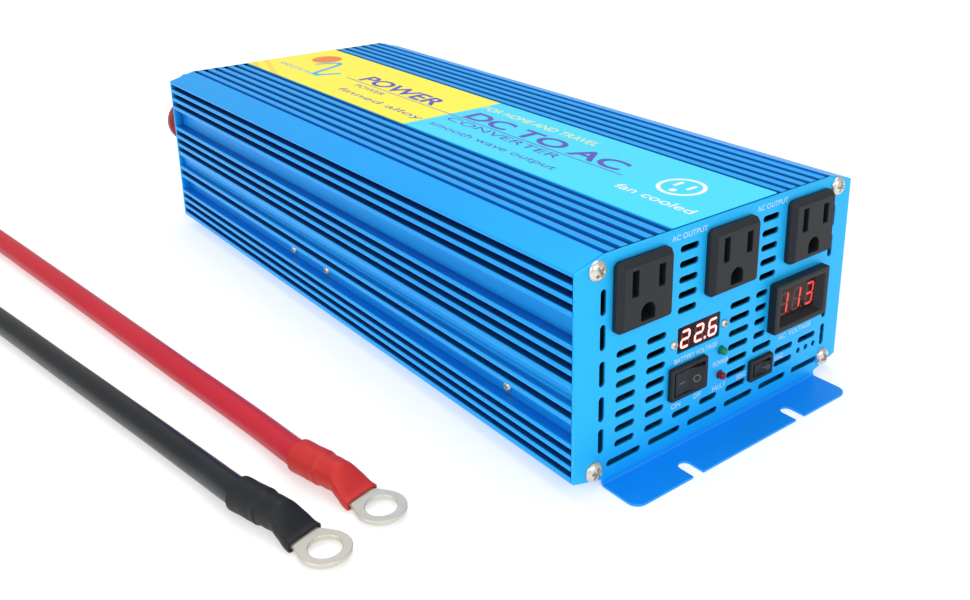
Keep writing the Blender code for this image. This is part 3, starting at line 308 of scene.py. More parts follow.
def tube(path, radius, sides=40):
    """A circle of the given radius carried along the path, square to it."""
    ahead = np.gradient(path, axis=0)
    ahead /= np.linalg.norm(ahead, axis=1, keepdims=True)
    across = np.cross(ahead, (0, 0, 1))
    across /= np.linalg.norm(across, axis=1, keepdims=True)
    above = np.cross(across, ahead)
    turn = np.linspace(0, 2 * np.pi, sides, endpoint=False)
    radius = np.broadcast_to(np.asarray(radius, float), (len(path), sides))[..., None]
    ring = across[:, None] * np.cos(turn)[None, :, None] + above[:, None] * np.sin(turn)[None, :, None]
    return path[:, None] + radius * ring


sheath = {
    "red": surface_material("red_sheath", (0.56, 0.020, 0.040), (0.46, 0.014, 0.028), 0.40, 0.1, 900, (1, 0.06, 1),
                            0.05, specular=0.22),
    "black": surface_material("black_sheath", (0.010, 0.013, 0.016), (0.006, 0.008, 0.010), 0.32, 0.1, 900,
                              (1, 0.06, 1), 0.05, specular=0.36),
}
shrink = {
    "red": surface_material("red_heat_shrink", (0.56, 0.028, 0.022), (0.48, 0.020, 0.018), 0.50, 0.12, 500,
                            depth=0.12, specular=0.3),
    "black": surface_material("black_heat_shrink", (0.010, 0.012, 0.014), (0.007, 0.008, 0.010), 0.55, 0.12, 500,
                              depth=0.12, specular=0.3),
}
tin = surface_material("tinned_copper", (0.72, 0.70, 0.62), (0.56, 0.53, 0.45), 0.50, 0.25, 260, depth=0.16,
                       metallic=0.7)


def lug_sections(stations, offset, sides=56, ripple=None):
    """Squared ovals along a lug: half width, underside, top and squareness at each distance from its ring."""
    along, half, low, high, power = (np.array(column, float)[:, None] for column in zip(*stations))
    turn = np.linspace(0, 2 * np.pi, sides, endpoint=False)[None]
    c, s = np.cos(turn), np.sin(turn)
    swell = offset if ripple is None else offset + ripple(along, turn)
    x = (half + swell) * np.sign(c) * np.abs(c) ** power
    z = (low + high) / 2 + ((high - low) / 2 + swell) * np.sign(s) * np.abs(s) ** power
    return np.stack([x, along + 0 * x, z], -1)


def eased(stations, count):
    """More stations, with every value easing from one given station to the next."""
    given_stations = np.array(stations, float)
    along = np.linspace(given_stations[0, 0], given_stations[-1, 0], count)
    index = np.clip(np.searchsorted(given_stations[:, 0], along, side="right") - 1, 0, len(given_stations) - 2)
    share = (along - given_stations[index, 0]) / (given_stations[index + 1, 0] - given_stations[index, 0])
    share = (share ** 2 * (3 - 2 * share))[:, None]
    made = given_stations[index] * (1 - share) + given_stations[index + 1] * share
    made[:, 0] = along
    return made.tolist()


def turned_on_plan(points, ring, heading):
    """Points of a lug that lies along +Y, turned to its heading and moved to its ring's centre."""
    ahead, right = way(heading), way(heading - 90)
    moved = points[..., :1] * right + points[..., 1:2] * ahead + points[..., 2:] * np.array([0, 0, 1.0])
    return moved + ring


tongue = (tongue_half, lug_z, lug_z + lug_plate, 0.45)
barrel = (barrel_radius, sleeved_z - barrel_radius, sleeved_z + barrel_radius, 1.0)
sheathed = (cable_radius, sleeved_z - cable_radius, sleeved_z + cable_radius, 1.0)


def lug_eye(edge=0.25):
    """The stamped ring: its hole's circle and an outline that leaves the circle for the tongue's corners.

    The outline is the farther of the circle and the tongue's straight sides, and both edges are rounded.
    """
    turn = np.linspace(0, 2 * np.pi, 144, endpoint=False)
    direction = np.stack([np.cos(turn), np.sin(turn)], -1)
    corner = np.array([tongue_half, 8.6])
    tangent = math.atan2(corner[1], corner[0]) - math.acos(eye_radius / np.linalg.norm(corner))
    touch = eye_radius * np.array([math.cos(tangent), math.sin(tangent)])
    side = corner - touch
    normal = np.array([side[1], -side[0]]) / np.linalg.norm(side)
    across = np.abs(direction[:, 0]) * normal[0] + direction[:, 1] * normal[1]
    flank = normal @ touch / np.maximum(across, 1e-6)
    bounded = np.minimum(flank, corner[1] / np.maximum(direction[:, 1], 1e-6))
    outer = np.where((direction[:, 1] > math.sin(tangent)) & (bounded > 0), bounded, eye_radius)
    levels = [(0, edge, 1), (0, 0.0, 1 - edge / lug_plate), (0, 0.0, edge / lug_plate), (0, edge, 0),
              (1, edge, 0), (1, 0.0, edge / lug_plate), (1, 0.0, 1 - edge / lug_plate), (1, edge, 1)]
    rows_made = []
    for outside, inset, height in levels:
        reach = outer - inset if outside else eye_hole + inset
        flat = direction * np.broadcast_to(reach, turn.shape)[:, None]
        rows_made.append(np.column_stack([flat, np.full(len(turn), lug_z + lug_plate * height)]))
    return np.stack(rows_made, 1)


def creases(along, turn):
    """Shallow waves where the sleeve shrank over the barrel, and a fold where the sheath inside it begins."""
    fold = 0.16 * np.exp(-((along - barrel_end - 1.6 - 0.5 * np.sin(turn + 1.0)) / 0.9) ** 2)
    draw = 0.06 * np.exp(-((along - 17.0) / 6.0) ** 2) * np.sin(1.3 * along + 2.5 * np.cos(turn))
    return fold + draw * (np.sin(turn) > -0.6) + 0.05 * np.sin(0.8 * along + 2 * turn)


for colour, run in cable_runs.items():
    near_way, far_way = way(run["heading"]), way(run["far_heading"])
    sleeved, lying = np.array([0, 0, sleeved_z]), np.array([0, 0, floor_gap + cable_radius])
    near_ring = on_plan(*run["ring"])
    near = near_ring + near_way * cable_start + sleeved
    far = on_plan(*run["route"][-1]) + far_way * (last_gap + straight) + sleeved
    far_ring = far - sleeved + far_way * cable_start
    places = [near + near_way * straight * part for part in (0, 0.5, 1)]
    places += [on_plan(*place) + lying for place in run["route"]]
    places += [far - far_way * straight * part for part in (1, 0.5, 0)]
    path = smooth_path(np.array(places), 4.0)
    cable = piece(f"{colour}_cable", [patch(tube(path, cable_radius), around=True, caps=True)], sheath[colour],
                  f"{colour}_cable", f"{colour}_battery_cable")
    for end, ring, heading in (("front", near_ring, run["heading"]), ("rear", far_ring, run["far_heading"] + 180)):
        stations = eased([(tongue_end, *tongue), (barrel_start, *barrel), (barrel_end, *barrel),
                          (barrel_end + 0.9, *sheathed), (sleeve_end, *sheathed)], 90)
        outer = lug_sections(stations, 0.3 + sleeve_wall, ripple=creases)
        outer[..., 2] = np.maximum(outer[..., 2], 0.1)
        inner = lug_sections(stations, 0.3)
        rim = [lug_sections(stations[k:k + 1], 0.3 + sleeve_wall * 0.5) + [0, push, 0] for k, push in
               ((0, -0.3), (len(stations) - 1, 0.3))]
        loop = np.concatenate([rim[0], outer, rim[1], inner[::-1]])
        piece(f"{colour}_heat_shrink_{end}", [patch(turned_on_plan(loop, ring, heading), True, True)],
                          shrink[colour], f"{colour}_sleeve", f"{colour}_sleeve_{end}")
        shank = eased([(tongue_start, *tongue), (tongue_end, *tongue), (barrel_start, *barrel),
                       (barrel_end, *barrel)], 40)
        piece(f"{colour}_ring_lug_{end}", [
            patch(turned_on_plan(lug_eye(), ring, heading), True, True),
            patch(turned_on_plan(lug_sections(shank, 0.0), ring, heading), True, caps=True)],
            tin, "tinned_copper", f"{colour}_lug_{end}")

# ---- Finned case ----------------------------------------------------------------------------------------
# Two aluminium extrusions, one over the other, anodised blue: the lower one's tongue stands in a slot
# behind the upper one's lip. The die leaves rounded fin tips and faint lines from front to back.

half_width = 75.0
fin_depth, seam_depth = 4.8, 2.5
seam_z = shell_low[2] / mm
upper_stack = [2.7, 2.6, 2.2, 2.6, 2.2, 2.6, 2.2, 9.9, 2.2, 2.6, 2.2, 2.6, 2.2, 2.6, 1.4]
lower_stack = [2.2, 2.6, 2.2, 7.6, 2.1, 2.35, 2.1, 2.35, 2.1, 2.35, 2.4]
seam_channel = 6.2
shoulder_run, case_wall = 13.7, 2.0
top_groove_depth, top_groove_width, top_groove_first, top_groove_pitch = 2.6, 2.7, 30.3, 6.03
case_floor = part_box("lower_housing")[0][2] / mm
inner_half = half_width - fin_depth - case_wall
lip_wall, lip_gap, lip_slot = 1.8, 0.3, 1.6
bore_half, bore_top_drop, bore_foot_rise = 61.4, 9.0, 9.4


def side_profile(stack, z, upwards):
    """Fins and the grooves between them, as (x, z) corners of the right-hand side, starting with a fin."""
    levels = z + upwards * np.concatenate([[0], np.cumsum(stack)])
    x = np.where(np.arange(len(stack)) % 2 == 0, half_width, half_width - fin_depth)
    return [corner for k in range(len(stack)) for corner in ((x[k], levels[k]), (x[k], levels[k + 1]))]


def rounded_profile(points, radius, steps=3):
    """Each corner of a closed outline replaced by a parabola that leaves the two sides a radius from it."""
    points = np.array(points, float)
    before, after = np.roll(points, 1, axis=0) - points, np.roll(points, -1, axis=0) - points
    sizes = [np.linalg.norm(side, axis=1, keepdims=True) for side in (before, after)]
    start, end = (points + side / size * np.minimum(radius, 0.42 * size)
                  for side, size in zip((before, after), sizes))
    t = np.linspace(0, 1, steps + 1)[None, :, None]
    curve = (1 - t) ** 2 * start[:, None] + 2 * t * (1 - t) * points[:, None] + t ** 2 * end[:, None]
    return curve.reshape(-1, 2)


def painted_groove_shade(points):
    """Painted shade: how far each point lies out of the light, 1 - e^(-depth / 0.25 mm) in a side groove, less in the
    wide channels and in the lid's grooves.
    """
    x, z = points[:, 0], points[:, 2]
    finned = (np.abs(x) > 68.9) & (z < side_top - 0.45) & (z > side_low + 0.45)
    aside = np.where(finned, half_width - np.abs(x), 0)
    above = np.where((np.abs(x) < 61.2) & (z > lid_z - 3), lid_z - z, 0)
    deep = 1 - np.exp(-np.maximum(aside, 0) / 0.25)
    weight = np.ones_like(z)
    for low, high, floor_weight in wide_channels:
        inside = (z > low - 0.1) & (z < high + 0.1)
        weight = np.where(inside, np.interp(z, [low + 0.1, low + 0.4, high - 0.4], [floor_weight, 0.15, 0.0]), weight)
    return np.maximum(deep * weight, 0.62 * (1 - np.exp(-np.maximum(above, 0) / 0.25)))


def shaded(mesh, weight):
    """The painted-shade weight of every point, in millimetres, kept on the mesh for its finish to read."""
    shade = mesh.attributes.new("painted_groove_shade", "FLOAT", "POINT")
    shade.data.foreach_set("value", weight(coordinates(mesh) / mm).astype(np.float32))


def extruded(outline, y_low, y_high):
    """An outline in x and z carried straight back, closed at both ends."""
    rows = [np.column_stack([outline[:, 0], np.full(len(outline), y), outline[:, 1]]) for y in (y_low, y_high)]
    return patch(np.stack(rows), around=True, caps=True)


def with_painted_shade(made, colour, painted_shade_colour):
    """Paints shade: carries the finish from colour down to the shade colour where the mesh is marked as out of the
    light.
    """
    tree = made.node_tree
    shade = linked(tree, "ShaderNodeAttribute", {"attribute_name": "painted_groove_shade"})
    tree.links.new(blend(tree, shade.outputs["Fac"], colour, (*painted_shade_colour, 1)),
                   tree.nodes["Principled BSDF"].inputs["Base Color"])


side_top = lid_z - 3.8
side_low = seam_z - seam_channel - sum(lower_stack)
low_channel_top = seam_z - seam_channel - sum(lower_stack[:3])
wide_channel_low = seam_z + sum(upper_stack[:7])
# Each wide channel: its low and high z and the painted shade at its floor, which fades to none at its top.
wide_channels = [(wide_channel_low, wide_channel_low + upper_stack[7], 0.72),
                 (low_channel_top - lower_stack[3], low_channel_top, 0.5), (seam_z - seam_channel, seam_z - 1.4, 0.45)]
anodised = surface_material("blue_anodised", (0.008, 0.43, 1.0), (0.007, 0.37, 0.98), 0.40, 0.12, 700, (1, 0.01, 1),
                            0.05, metallic=0.5, specular=0.3)
# Painted shade: the fins' grooves and channels go down to dark navy where the mesh is marked.
with_painted_shade(anodised, grain_colour(anodised), (0.004, 0.030, 0.19))
body_y = (shell_low[1] / mm, shell_high[1] / mm)
ceiling = lid_z - top_groove_depth - case_wall
slot_low, slot_high = half_width - seam_depth - lip_wall - lip_gap, half_width - seam_depth + lip_gap
grooves = [(x + side * top_groove_width / 2, lid_z - drop)
           for x in top_groove_first + top_groove_pitch * np.arange(5, -1, -1)
           for side, drop in ((1, 0), (1, top_groove_depth), (-1, top_groove_depth), (-1, 0))]
right = [(bore_half, ceiling), (bore_half, lid_z - bore_top_drop), (inner_half, lid_z - bore_top_drop),
         (inner_half, seam_z), (slot_low, seam_z), (slot_low, seam_z + lip_slot), (slot_high, seam_z + lip_slot),
         (slot_high, seam_z)]
right += side_profile(upper_stack, seam_z, 1) + [(half_width - shoulder_run, lid_z)] + grooves
outline = right + [(-x, z) for x, z in reversed(right)]
shaded(piece("upper_shell", [extruded(rounded_profile(outline, 0.38), *body_y)], anodised,
             "blue_anodised", "upper_housing").data, painted_groove_shade)

tongue_x = half_width - seam_depth
lower_top = seam_z - lip_gap
board_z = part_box("circuit_board")[0][2] / mm
board_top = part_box("circuit_board")[1][2] / mm
right = [(tongue_x - lip_wall, lower_top), (tongue_x - lip_wall, lower_top + 1.3), (tongue_x, lower_top + 1.3),
         (tongue_x, seam_z - 0.1), (tongue_x - 1.3, seam_z - 0.1), (tongue_x - 1.3, seam_z - 1.4),
         (tongue_x, seam_z - 1.4), (tongue_x, seam_z - 4.4), (tongue_x - 0.3, seam_z - 4.7),
         (tongue_x - 0.3, seam_z - 5.1), (tongue_x, seam_z - 5.4), (tongue_x, seam_z - seam_channel)]
right += side_profile(lower_stack, seam_z - seam_channel, -1) + [(half_width - shoulder_run, case_floor)]
inner = [(inner_half, lower_top)]
for rail in (board_top + 0.3, board_z - 1.8):
    inner += [(inner_half, rail + 1.5), (inner_half - 3, rail + 1.5), (inner_half - 3, rail), (inner_half, rail)]
inner += [(inner_half, case_floor + bore_foot_rise), (bore_half, case_floor + bore_foot_rise),
          (bore_half, case_floor + case_wall)]
inner = [(-x, z) for x, z in inner] + inner[::-1]
outline = right + [(-x, z) for x, z in reversed(right)] + inner
shaded(piece("lower_shell", [extruded(rounded_profile(outline, 0.38), *body_y)], anodised,
             "blue_anodised", "lower_housing").data, painted_groove_shade)

# ---- End panels -----------------------------------------------------------------------------------------
# Millimetre steel sheet, punched and folded along its foot into a mounting flange with two open slots, and
# powder coated in the case's blue.

fold_radius, flange_reach, flange_half, flange_corner = 0.9, 17.2, 60.9, 4.5
slot_x, slot_width, slot_length = 29.6, 5.4, 9.2


def arc(x, z, radius, start, end, steps=8):
    """Points on a circle between two angles in degrees."""
    turn = np.radians(np.linspace(start, end, steps + 1))
    return list(zip(x + radius * np.cos(turn), z + radius * np.sin(turn)))


def stadium(x, z, length, width=2.6, upright=False):
    """A slot with round ends."""
    reach = (length - width) / 2
    if upright:
        return arc(x, z + reach, width / 2, 0, 180) + arc(x, z - reach, width / 2, 180, 360)
    return arc(x + reach, z, width / 2, -90, 90) + arc(x - reach, z, width / 2, 90, 270)


def ring(x, z, radius, sides=32):
    """A whole circle, without its last point again."""
    return arc(x, z, radius, 0, 360 * (1 - 1 / sides), sides - 1)


def rounded_rectangle(x, z, width, height, radius=0.4, steps=4):
    """A rectangle about its middle, each corner an arc of that many steps."""
    corners = ((1, 1, 0), (-1, 1, 90), (-1, -1, 180), (1, -1, 270))
    return [point for sx, sz, start in corners
            for point in arc(x + sx * (width / 2 - radius), z + sz * (height / 2 - radius), radius, start,
                             start + 90, steps)]


def plate(name, outlines, thickness, soft=0.12):
    """A flat plate from an outline and its holes, in x and y, with its edges rounded by the punch."""
    curve = bpy.data.curves.new(name, "CURVE")
    curve.dimensions = "2D"
    curve.fill_mode = "BOTH"
    curve.extrude = (thickness / 2 - soft) * mm
    curve.bevel_depth = soft * mm
    curve.bevel_resolution = 1
    curve.offset = -soft * mm
    for points in outlines:
        spline = curve.splines.new("POLY")
        spline.points.add(len(points) - 1)
        for point, (x, y) in zip(spline.points, points):
            point.co = (x * mm, y * mm, 0, 1)
        spline.use_cyclic_u = True
    return flattened(bpy.data.objects.new(name, curve))


def flattened(drawn_object):
    """A curve or text as a welded mesh in bmesh form, with the object removed."""
    scene.collection.objects.link(drawn_object)
    bpy.context.view_layer.update()
    graph = bpy.context.evaluated_depsgraph_get()
    data = bpy.data.meshes.new_from_object(drawn_object.evaluated_get(graph))
    shape = bmesh.new()
    shape.from_mesh(data)
    bpy.data.meshes.remove(data)
    bpy.data.objects.remove(drawn_object)
    bmesh.ops.remove_doubles(shape, verts=shape.verts, dist=2e-7)
    return shape


def as_mesh(shape, name, change):
    """The bmesh as a new mesh after change has turned its array of points, in metres, into others."""
    bmesh.ops.recalc_face_normals(shape, faces=shape.faces)
    mesh = bpy.data.meshes.new(name)
    shape.to_mesh(mesh)
    shape.free()
    mesh.vertices.foreach_set("co", change(coordinates(mesh)).ravel())
    mesh.update()
    return mesh


def folded_sheet(name, holes, facing, look, replaced):
    """A punched blank whose foot is carried round the fold radius and out into the flange."""
    bend_z = sheet_thickness + fold_radius
    fold = fold_radius * math.pi / 2
    edge = bend_z - fold - (flange_reach - fold_radius)
    inset = 0.2
    end = edge + slot_length - slot_width / 2
    half = [(slot_x - slot_width / 2, edge)] + arc(slot_x, end, slot_width / 2, 180, 0, 16)
    half += [(slot_x + slot_width / 2, edge)] + arc(flange_half - flange_corner, edge + flange_corner, flange_corner,
                                                    -90, 0)
    half += [(flange_half, case_floor), (half_width - inset, side_low), (half_width - inset, side_top),
             (half_width - shoulder_run, lid_z - inset)]
    shape = plate(name, [half + [(-x, z) for x, z in reversed(half)]] + holes, sheet_thickness)
    for k in range(7):
        bmesh.ops.bisect_plane(shape, geom=shape.verts[:] + shape.edges[:] + shape.faces[:], dist=1e-8,
                               plane_co=(0, (bend_z - fold * k / 6) * mm, 0), plane_no=(0, 1, 0))

    def fold_up(points):
        x, run, depth = points[:, 0], points[:, 1] / mm, sheet_thickness / 2 - points[:, 2] / mm
        turn = np.clip((bend_z - run) / fold_radius, 0, math.pi / 2)
        past = np.maximum(bend_z - fold - run, 0)
        height = np.maximum(run, bend_z) - (fold_radius + depth) * np.sin(turn)
        out = -(fold_radius + depth) * np.cos(turn) + fold_radius + past
        out = np.where((depth > 0.5) & (run > 3), out - 0.28, out)
        y = front_y - out if facing < 0 else rear_y + out
        return np.column_stack([-facing * x, y * mm, height * mm])

    # Painted shade: points more than half a millimetre behind the outer face, within the vented area, are marked to go
    # near-black, for the shade in the holes and behind the sheet.
    def painted_hole_shade(points):
        behind = points[:, 1] - front_y if facing < 0 else rear_y - points[:, 1]
        return (behind > 0.5) & (np.abs(points[:, 0]) < 70) & (points[:, 2] > 6) & (points[:, 2] < side_top - 1)

    mesh = as_mesh(shape, name, fold_up)
    shaded(mesh, painted_hole_shade)
    return kept(bpy.data.objects.new(name, mesh), look, "blue_paint", replaced, sharp=20)


powder_coat = surface_material("blue_powder_coat", (0.006, 0.49, 0.97), (0.006, 0.44, 0.95), 0.42, 0.10, 2600,
                               depth=0.10, metallic=0.3, specular=0.35)
tree = powder_coat.node_tree
height = linked(tree, "ShaderNodeSeparateXYZ", Vector=tree.nodes.new("ShaderNodeTexCoord").outputs["Object"])
foot = linked(tree, "ShaderNodeMapRange", Value=height.outputs["Z"], **{"From Min": 0.0035, "From Max": 0.0012})
flange_blue = blend(tree, foot.outputs[0], grain_colour(powder_coat), (0.004, 0.31, 0.95, 1))
# Painted shade: near-black where the sheet is marked, in its holes and on its back.
with_painted_shade(powder_coat, flange_blue, (0.002, 0.006, 0.02))
rows = 15.2 + 5.9 * np.arange(7)
high_rows = 57.7 + 6.0 * np.arange(5)
vents = [(-50.7, 9.7, rows), (-35.8, 9.7, rows), (9.5, 11.6, rows), (-20.6, 9.7, high_rows), (24.6, 9.6, high_rows),
         (22.2, 7.0, rows[3:]), (24.3, 11.4, rows[2:3]), (38.8, 11.4, rows[:2] + 0.3), (53.7, 11.4, rows[1:2] + 0.3),
         (-21.3, 9.7, rows[:1]), (-6.4, 9.7, rows[:1])]
outlet_x, outlet_z, outlet_size = (-44.8, 1.4, 47.4), 72.6, 26.5
outlet_bevel, outlet_proud = 1.7, 4.0
ac_meter, ac_meter_size = (43.55, 42.6), (33.5, 21.2)
battery_meter, battery_meter_size = (-13.4, 45.5), (23.0, 10.4)
main_switch, main_switch_size = (-19.2, 28.85), (19.8, 13.4)
frequency_switch, frequency_switch_size = (23.4, 18.5), (14.0, 9.3)
lamp_x, lamp_z = -0.4, (33.9, 23.4)
screw_x, screw_top, screw_bottom = 65.5, lid_z - 4.9, case_floor + 5.3
screw_ports = [(side * screw_x, z) for side in (-1, 1) for z in (screw_top, screw_bottom)]
meter_screws = [(-26.9, 44.7), (0.5, 44.8)]

holes = [stadium(x, z, length) for x, length, levels in vents for z in levels]
holes += [stadium(-50.8 + 20.85 * k, 8.6, 16.8) for k in range(6)]
holes += [stadium(x, z, 9.7, upright=True) for x in (-62.2, 64.4) for z in (19.2, 31.9, 45.6, 59.5, 72.6)]
holes += [ring(x, 16.75, 1.25, 20) for x in (48.8, 53.8, 58.8)]
neck = outlet_size - 2 * outlet_bevel
holes += [rounded_rectangle(x, outlet_z, neck, neck) for x in outlet_x]
holes += [rounded_rectangle(*ac_meter, ac_meter_size[0] - 3, ac_meter_size[1] - 3)]
holes += [rounded_rectangle(*battery_meter, *battery_meter_size, 0.6)]
holes += [ring(x, z, 1.2, 20) for x, z in meter_screws]
holes += [rounded_rectangle(*at, width - 2, height - 2) for at, (width, height) in
          ((main_switch, main_switch_size), (frequency_switch, frequency_switch_size))]
holes += [ring(lamp_x, z, 1.75, 24) for z in lamp_z]
holes += [ring(x, z, 2.1, 20) for x, z in screw_ports]
folded_sheet("front_sheet", holes, -1, powder_coat, "front_panel")

fan_x, fan_z = 22.5, 50.0
terminal_x, terminal_z, earth_z = 58.0, 56.5, 17.0
holes = [ring(x, z, 2.1, 20) for x, z in screw_ports]
for x in (-fan_x, fan_x):
    for inside in (5.0, 9.5, 14.0):
        spoke = math.degrees(1.3 / inside)
        holes += [arc(x, fan_z, inside + 3.0, start, end, 14) + arc(x, fan_z, inside, end, start, 14)
                  for start, end in ((45 + 90 * k + spoke, 135 + 90 * k - spoke) for k in range(4))]
    holes += [ring(x + sx * 16, fan_z + sz * 16, 1.9, 20) for sx in (-1, 1) for sz in (-1, 1)]
holes += [ring(x, terminal_z, 6.2, 40) for x in (-terminal_x, terminal_x)] + [ring(0, earth_z, 2.4, 24)]
holes += [stadium(x, 12.2, 16.8) for x in (-45, -24, 24, 45)]
folded_sheet("rear_sheet", holes, 1, powder_coat, "rear_panel")

# ---- Screen-printed lettering ---------------------------------------------------------------------------
# White ink on the front panel, and small marks on the switches: flat letters a few hundredths proud.

ink = surface_material("white_ink", (0.62, 0.80, 0.94), roughness=0.5, grain=3000, depth=0.02)


def word(text, size, width=None, bold=0.0):
    """Letters as flat points in x and y, centred, squeezed or spread to the given width."""
    letters = bpy.data.curves.new("letters", "FONT")
    letters.body = text
    letters.size = size * 1.37 * mm
    letters.offset = bold * mm
    letters.extrude = 0.01 * mm
    letters.align_x, letters.align_y = "CENTER", "CENTER"
    shape = flattened(bpy.data.objects.new("letters", letters))
    points = np.array([vertex.co for vertex in shape.verts]) / mm
    low, high = points.min(0), points.max(0)
    scale = np.array([width / (high[0] - low[0]) if width else 1, size / (high[1] - low[1]), 1])
    for vertex, place_now in zip(shape.verts, (points - (low + high) / 2) * scale * mm):
        vertex.co = place_now
    return shape


def printed(name, words, plane, look, slot):
    """Several words as one piece. Each is text, height, width, boldness and the point plane puts it at."""
    whole = bmesh.new()
    for text, size, width, bold, at in words:
        shape = word(text, size, width, bold)
        mesh = as_mesh(shape, name, lambda points, at=at: plane(points, at))
        whole.from_mesh(mesh)
        bpy.data.meshes.remove(mesh)
    mesh = as_mesh(whole, name, lambda points: points)
    return kept(bpy.data.objects.new(name, mesh), look, slot)


def on_front(points, at):
    """Letters upright on the front panel, centred on (x, z)."""
    return np.column_stack([points[:, 0] + at[0] * mm, (front_y - 0.02) * mm - points[:, 2],
                            points[:, 1] + at[1] * mm])


printed("panel_lettering", [
    ("AC OUTPUT", 2.1, 18.3, 0.0, (-20.9, 86.8)),
    ("AC OUTPUT", 2.1, 18.1, 0.0, (24.9, 86.8)),
    ("BATTERY VOLTAGE", 2.0, 23.2, 0.0, (-14.5, 37.5)),
    ("AC  VOLTAGE", 2.0, 21.0, 0.0, (45.3, 27.1)),
    ("ON", 2.1, 4.8, 0.0, (-24.4, 19.0)),
    ("OFF", 2.1, 4.5, 0.0, (-12.7, 19.0)),
    ("POWER", 2.1, 8.9, 0.0, (-0.1, 28.7)),
    ("FAULT", 2.1, 7.5, 0.0, (-0.5, 18.1)),
    ("50HZ", 2.1, 5.9, 0.0, (12.8, 18.3)),
    ("60HZ", 2.1, 5.3, 0.0, (36.0, 18.3)),
], on_front, ink, "blue_paint")

# ---- Screws ---------------------------------------------------------------------------------------------
# Zinc-plated pan-head screws with a cross recess, cold formed: a low dome with a soft shoulder.

zinc = surface_material("zinc_plate", (0.78, 0.75, 0.68), (0.62, 0.58, 0.52), 0.36, 0.12, 900, depth=0.04,
                        metallic=0.9)


def pan_screw(name, at, across, outward, radius, rise, spin, *replaced):
    """A dome, 1 - r^4 high at r of its radius, less a cross whose arms narrow and deepen to the middle."""
    r = np.concatenate([np.linspace(0.02, 0.62, 16), np.linspace(0.66, 1.0, 10), [1.0]])[:, None]
    turn = np.linspace(0, 2 * np.pi, 72, endpoint=False)[None]
    dome = rise * (1 - 0.75 * r ** 4)
    a, b = np.abs(r * np.cos(turn + spin)), np.abs(r * np.sin(turn + spin))
    arm = 0.14 + 0.08 * (1 - r)
    inside = np.clip((arm - np.minimum(a, b)) / 0.05, 0, 1) * np.clip((0.60 - np.maximum(a, b)) / 0.08, 0, 1)
    height = dome - inside * rise * 1.1 * (1 - 0.6 * np.maximum(a, b))
    height[-1] = 0
    flat = np.stack([r * radius * np.cos(turn), r * radius * np.sin(turn), height + 0 * turn], -1)
    axes = [np.array(axis, float) for axis in (across, (0, 0, 1), outward)]
    points = np.array(at, float) + sum(flat[..., k:k + 1] * axes[k] for k in range(3))
    piece(name, [patch(points, around=True, caps=True)], zinc, "screw_steel", *replaced, sharp=50)


for level, z in (("bottom", screw_bottom), ("top", screw_top)):
    for side, x in (("left", -screw_x), ("right", screw_x)):
        spin = 0.4 + 0.9 * (x > 0) + 0.5 * (z > 40)
        for end, y, out in (("front", front_y - 0.05, -1), ("rear", rear_y + 0.05, 1)):
            pan_screw(f"{end}_pan_screw_{level}_{side}", (x, y, z), (-out, 0, 0), (0, out, 0), 3.8, 2.1, spin,
                      f"{end}_screw_{level}_{side}")
for side, (x, z) in zip(("left", "right"), meter_screws):
    pan_screw(f"meter_pan_screw_{side}", (x, front_y - 0.05, z), (1, 0, 0), (0, -1, 0), 1.75, 1.1, 0.6 + x,
              f"voltmeter_screw_{side}")
for name, y in (("front", 42.0), ("middle", 179.3), ("rear", 211.8)):
    for side, out, replaced in (("left", -1, [f"bar_screw_{name}"]), ("right", 1, [])):
        seat = out * (half_width - fin_depth + 0.05)
        pan_screw(f"clamp_screw_{side}_{name}", (seat, front_y + y, 25.4), (0, out, 0), (out, 0, 0), 2.1, 1.4, y,
                  *replaced)

# ---- Outlets --------------------------------------------------------------------------------------------
# Black moulded sockets snapped in from the front: a bevelled block with two blade slots, a longer one for
# the neutral, and a round-topped hole for the earth pin.

black_plastic = surface_material("black_moulding", (0.014, 0.017, 0.021), (0.010, 0.012, 0.015), 0.50, 0.15, 1800,
                                 depth=0.16, specular=0.28)


def stepped_frame(x, z, levels, caps=False):
    """Rounded rectangles joined in order: half width, half height, corner radius and height over the panel."""
    rows_made = []
    for half, tall, radius, proud in levels:
        loop = np.array(rounded_rectangle(x, z, 2 * half, 2 * tall, max(radius, 0.01), 6))
        rows_made.append(np.column_stack([loop[:, 0], np.full(len(loop), front_y - proud), loop[:, 1]]))
    return patch(np.stack(rows_made), around=True, caps=caps)


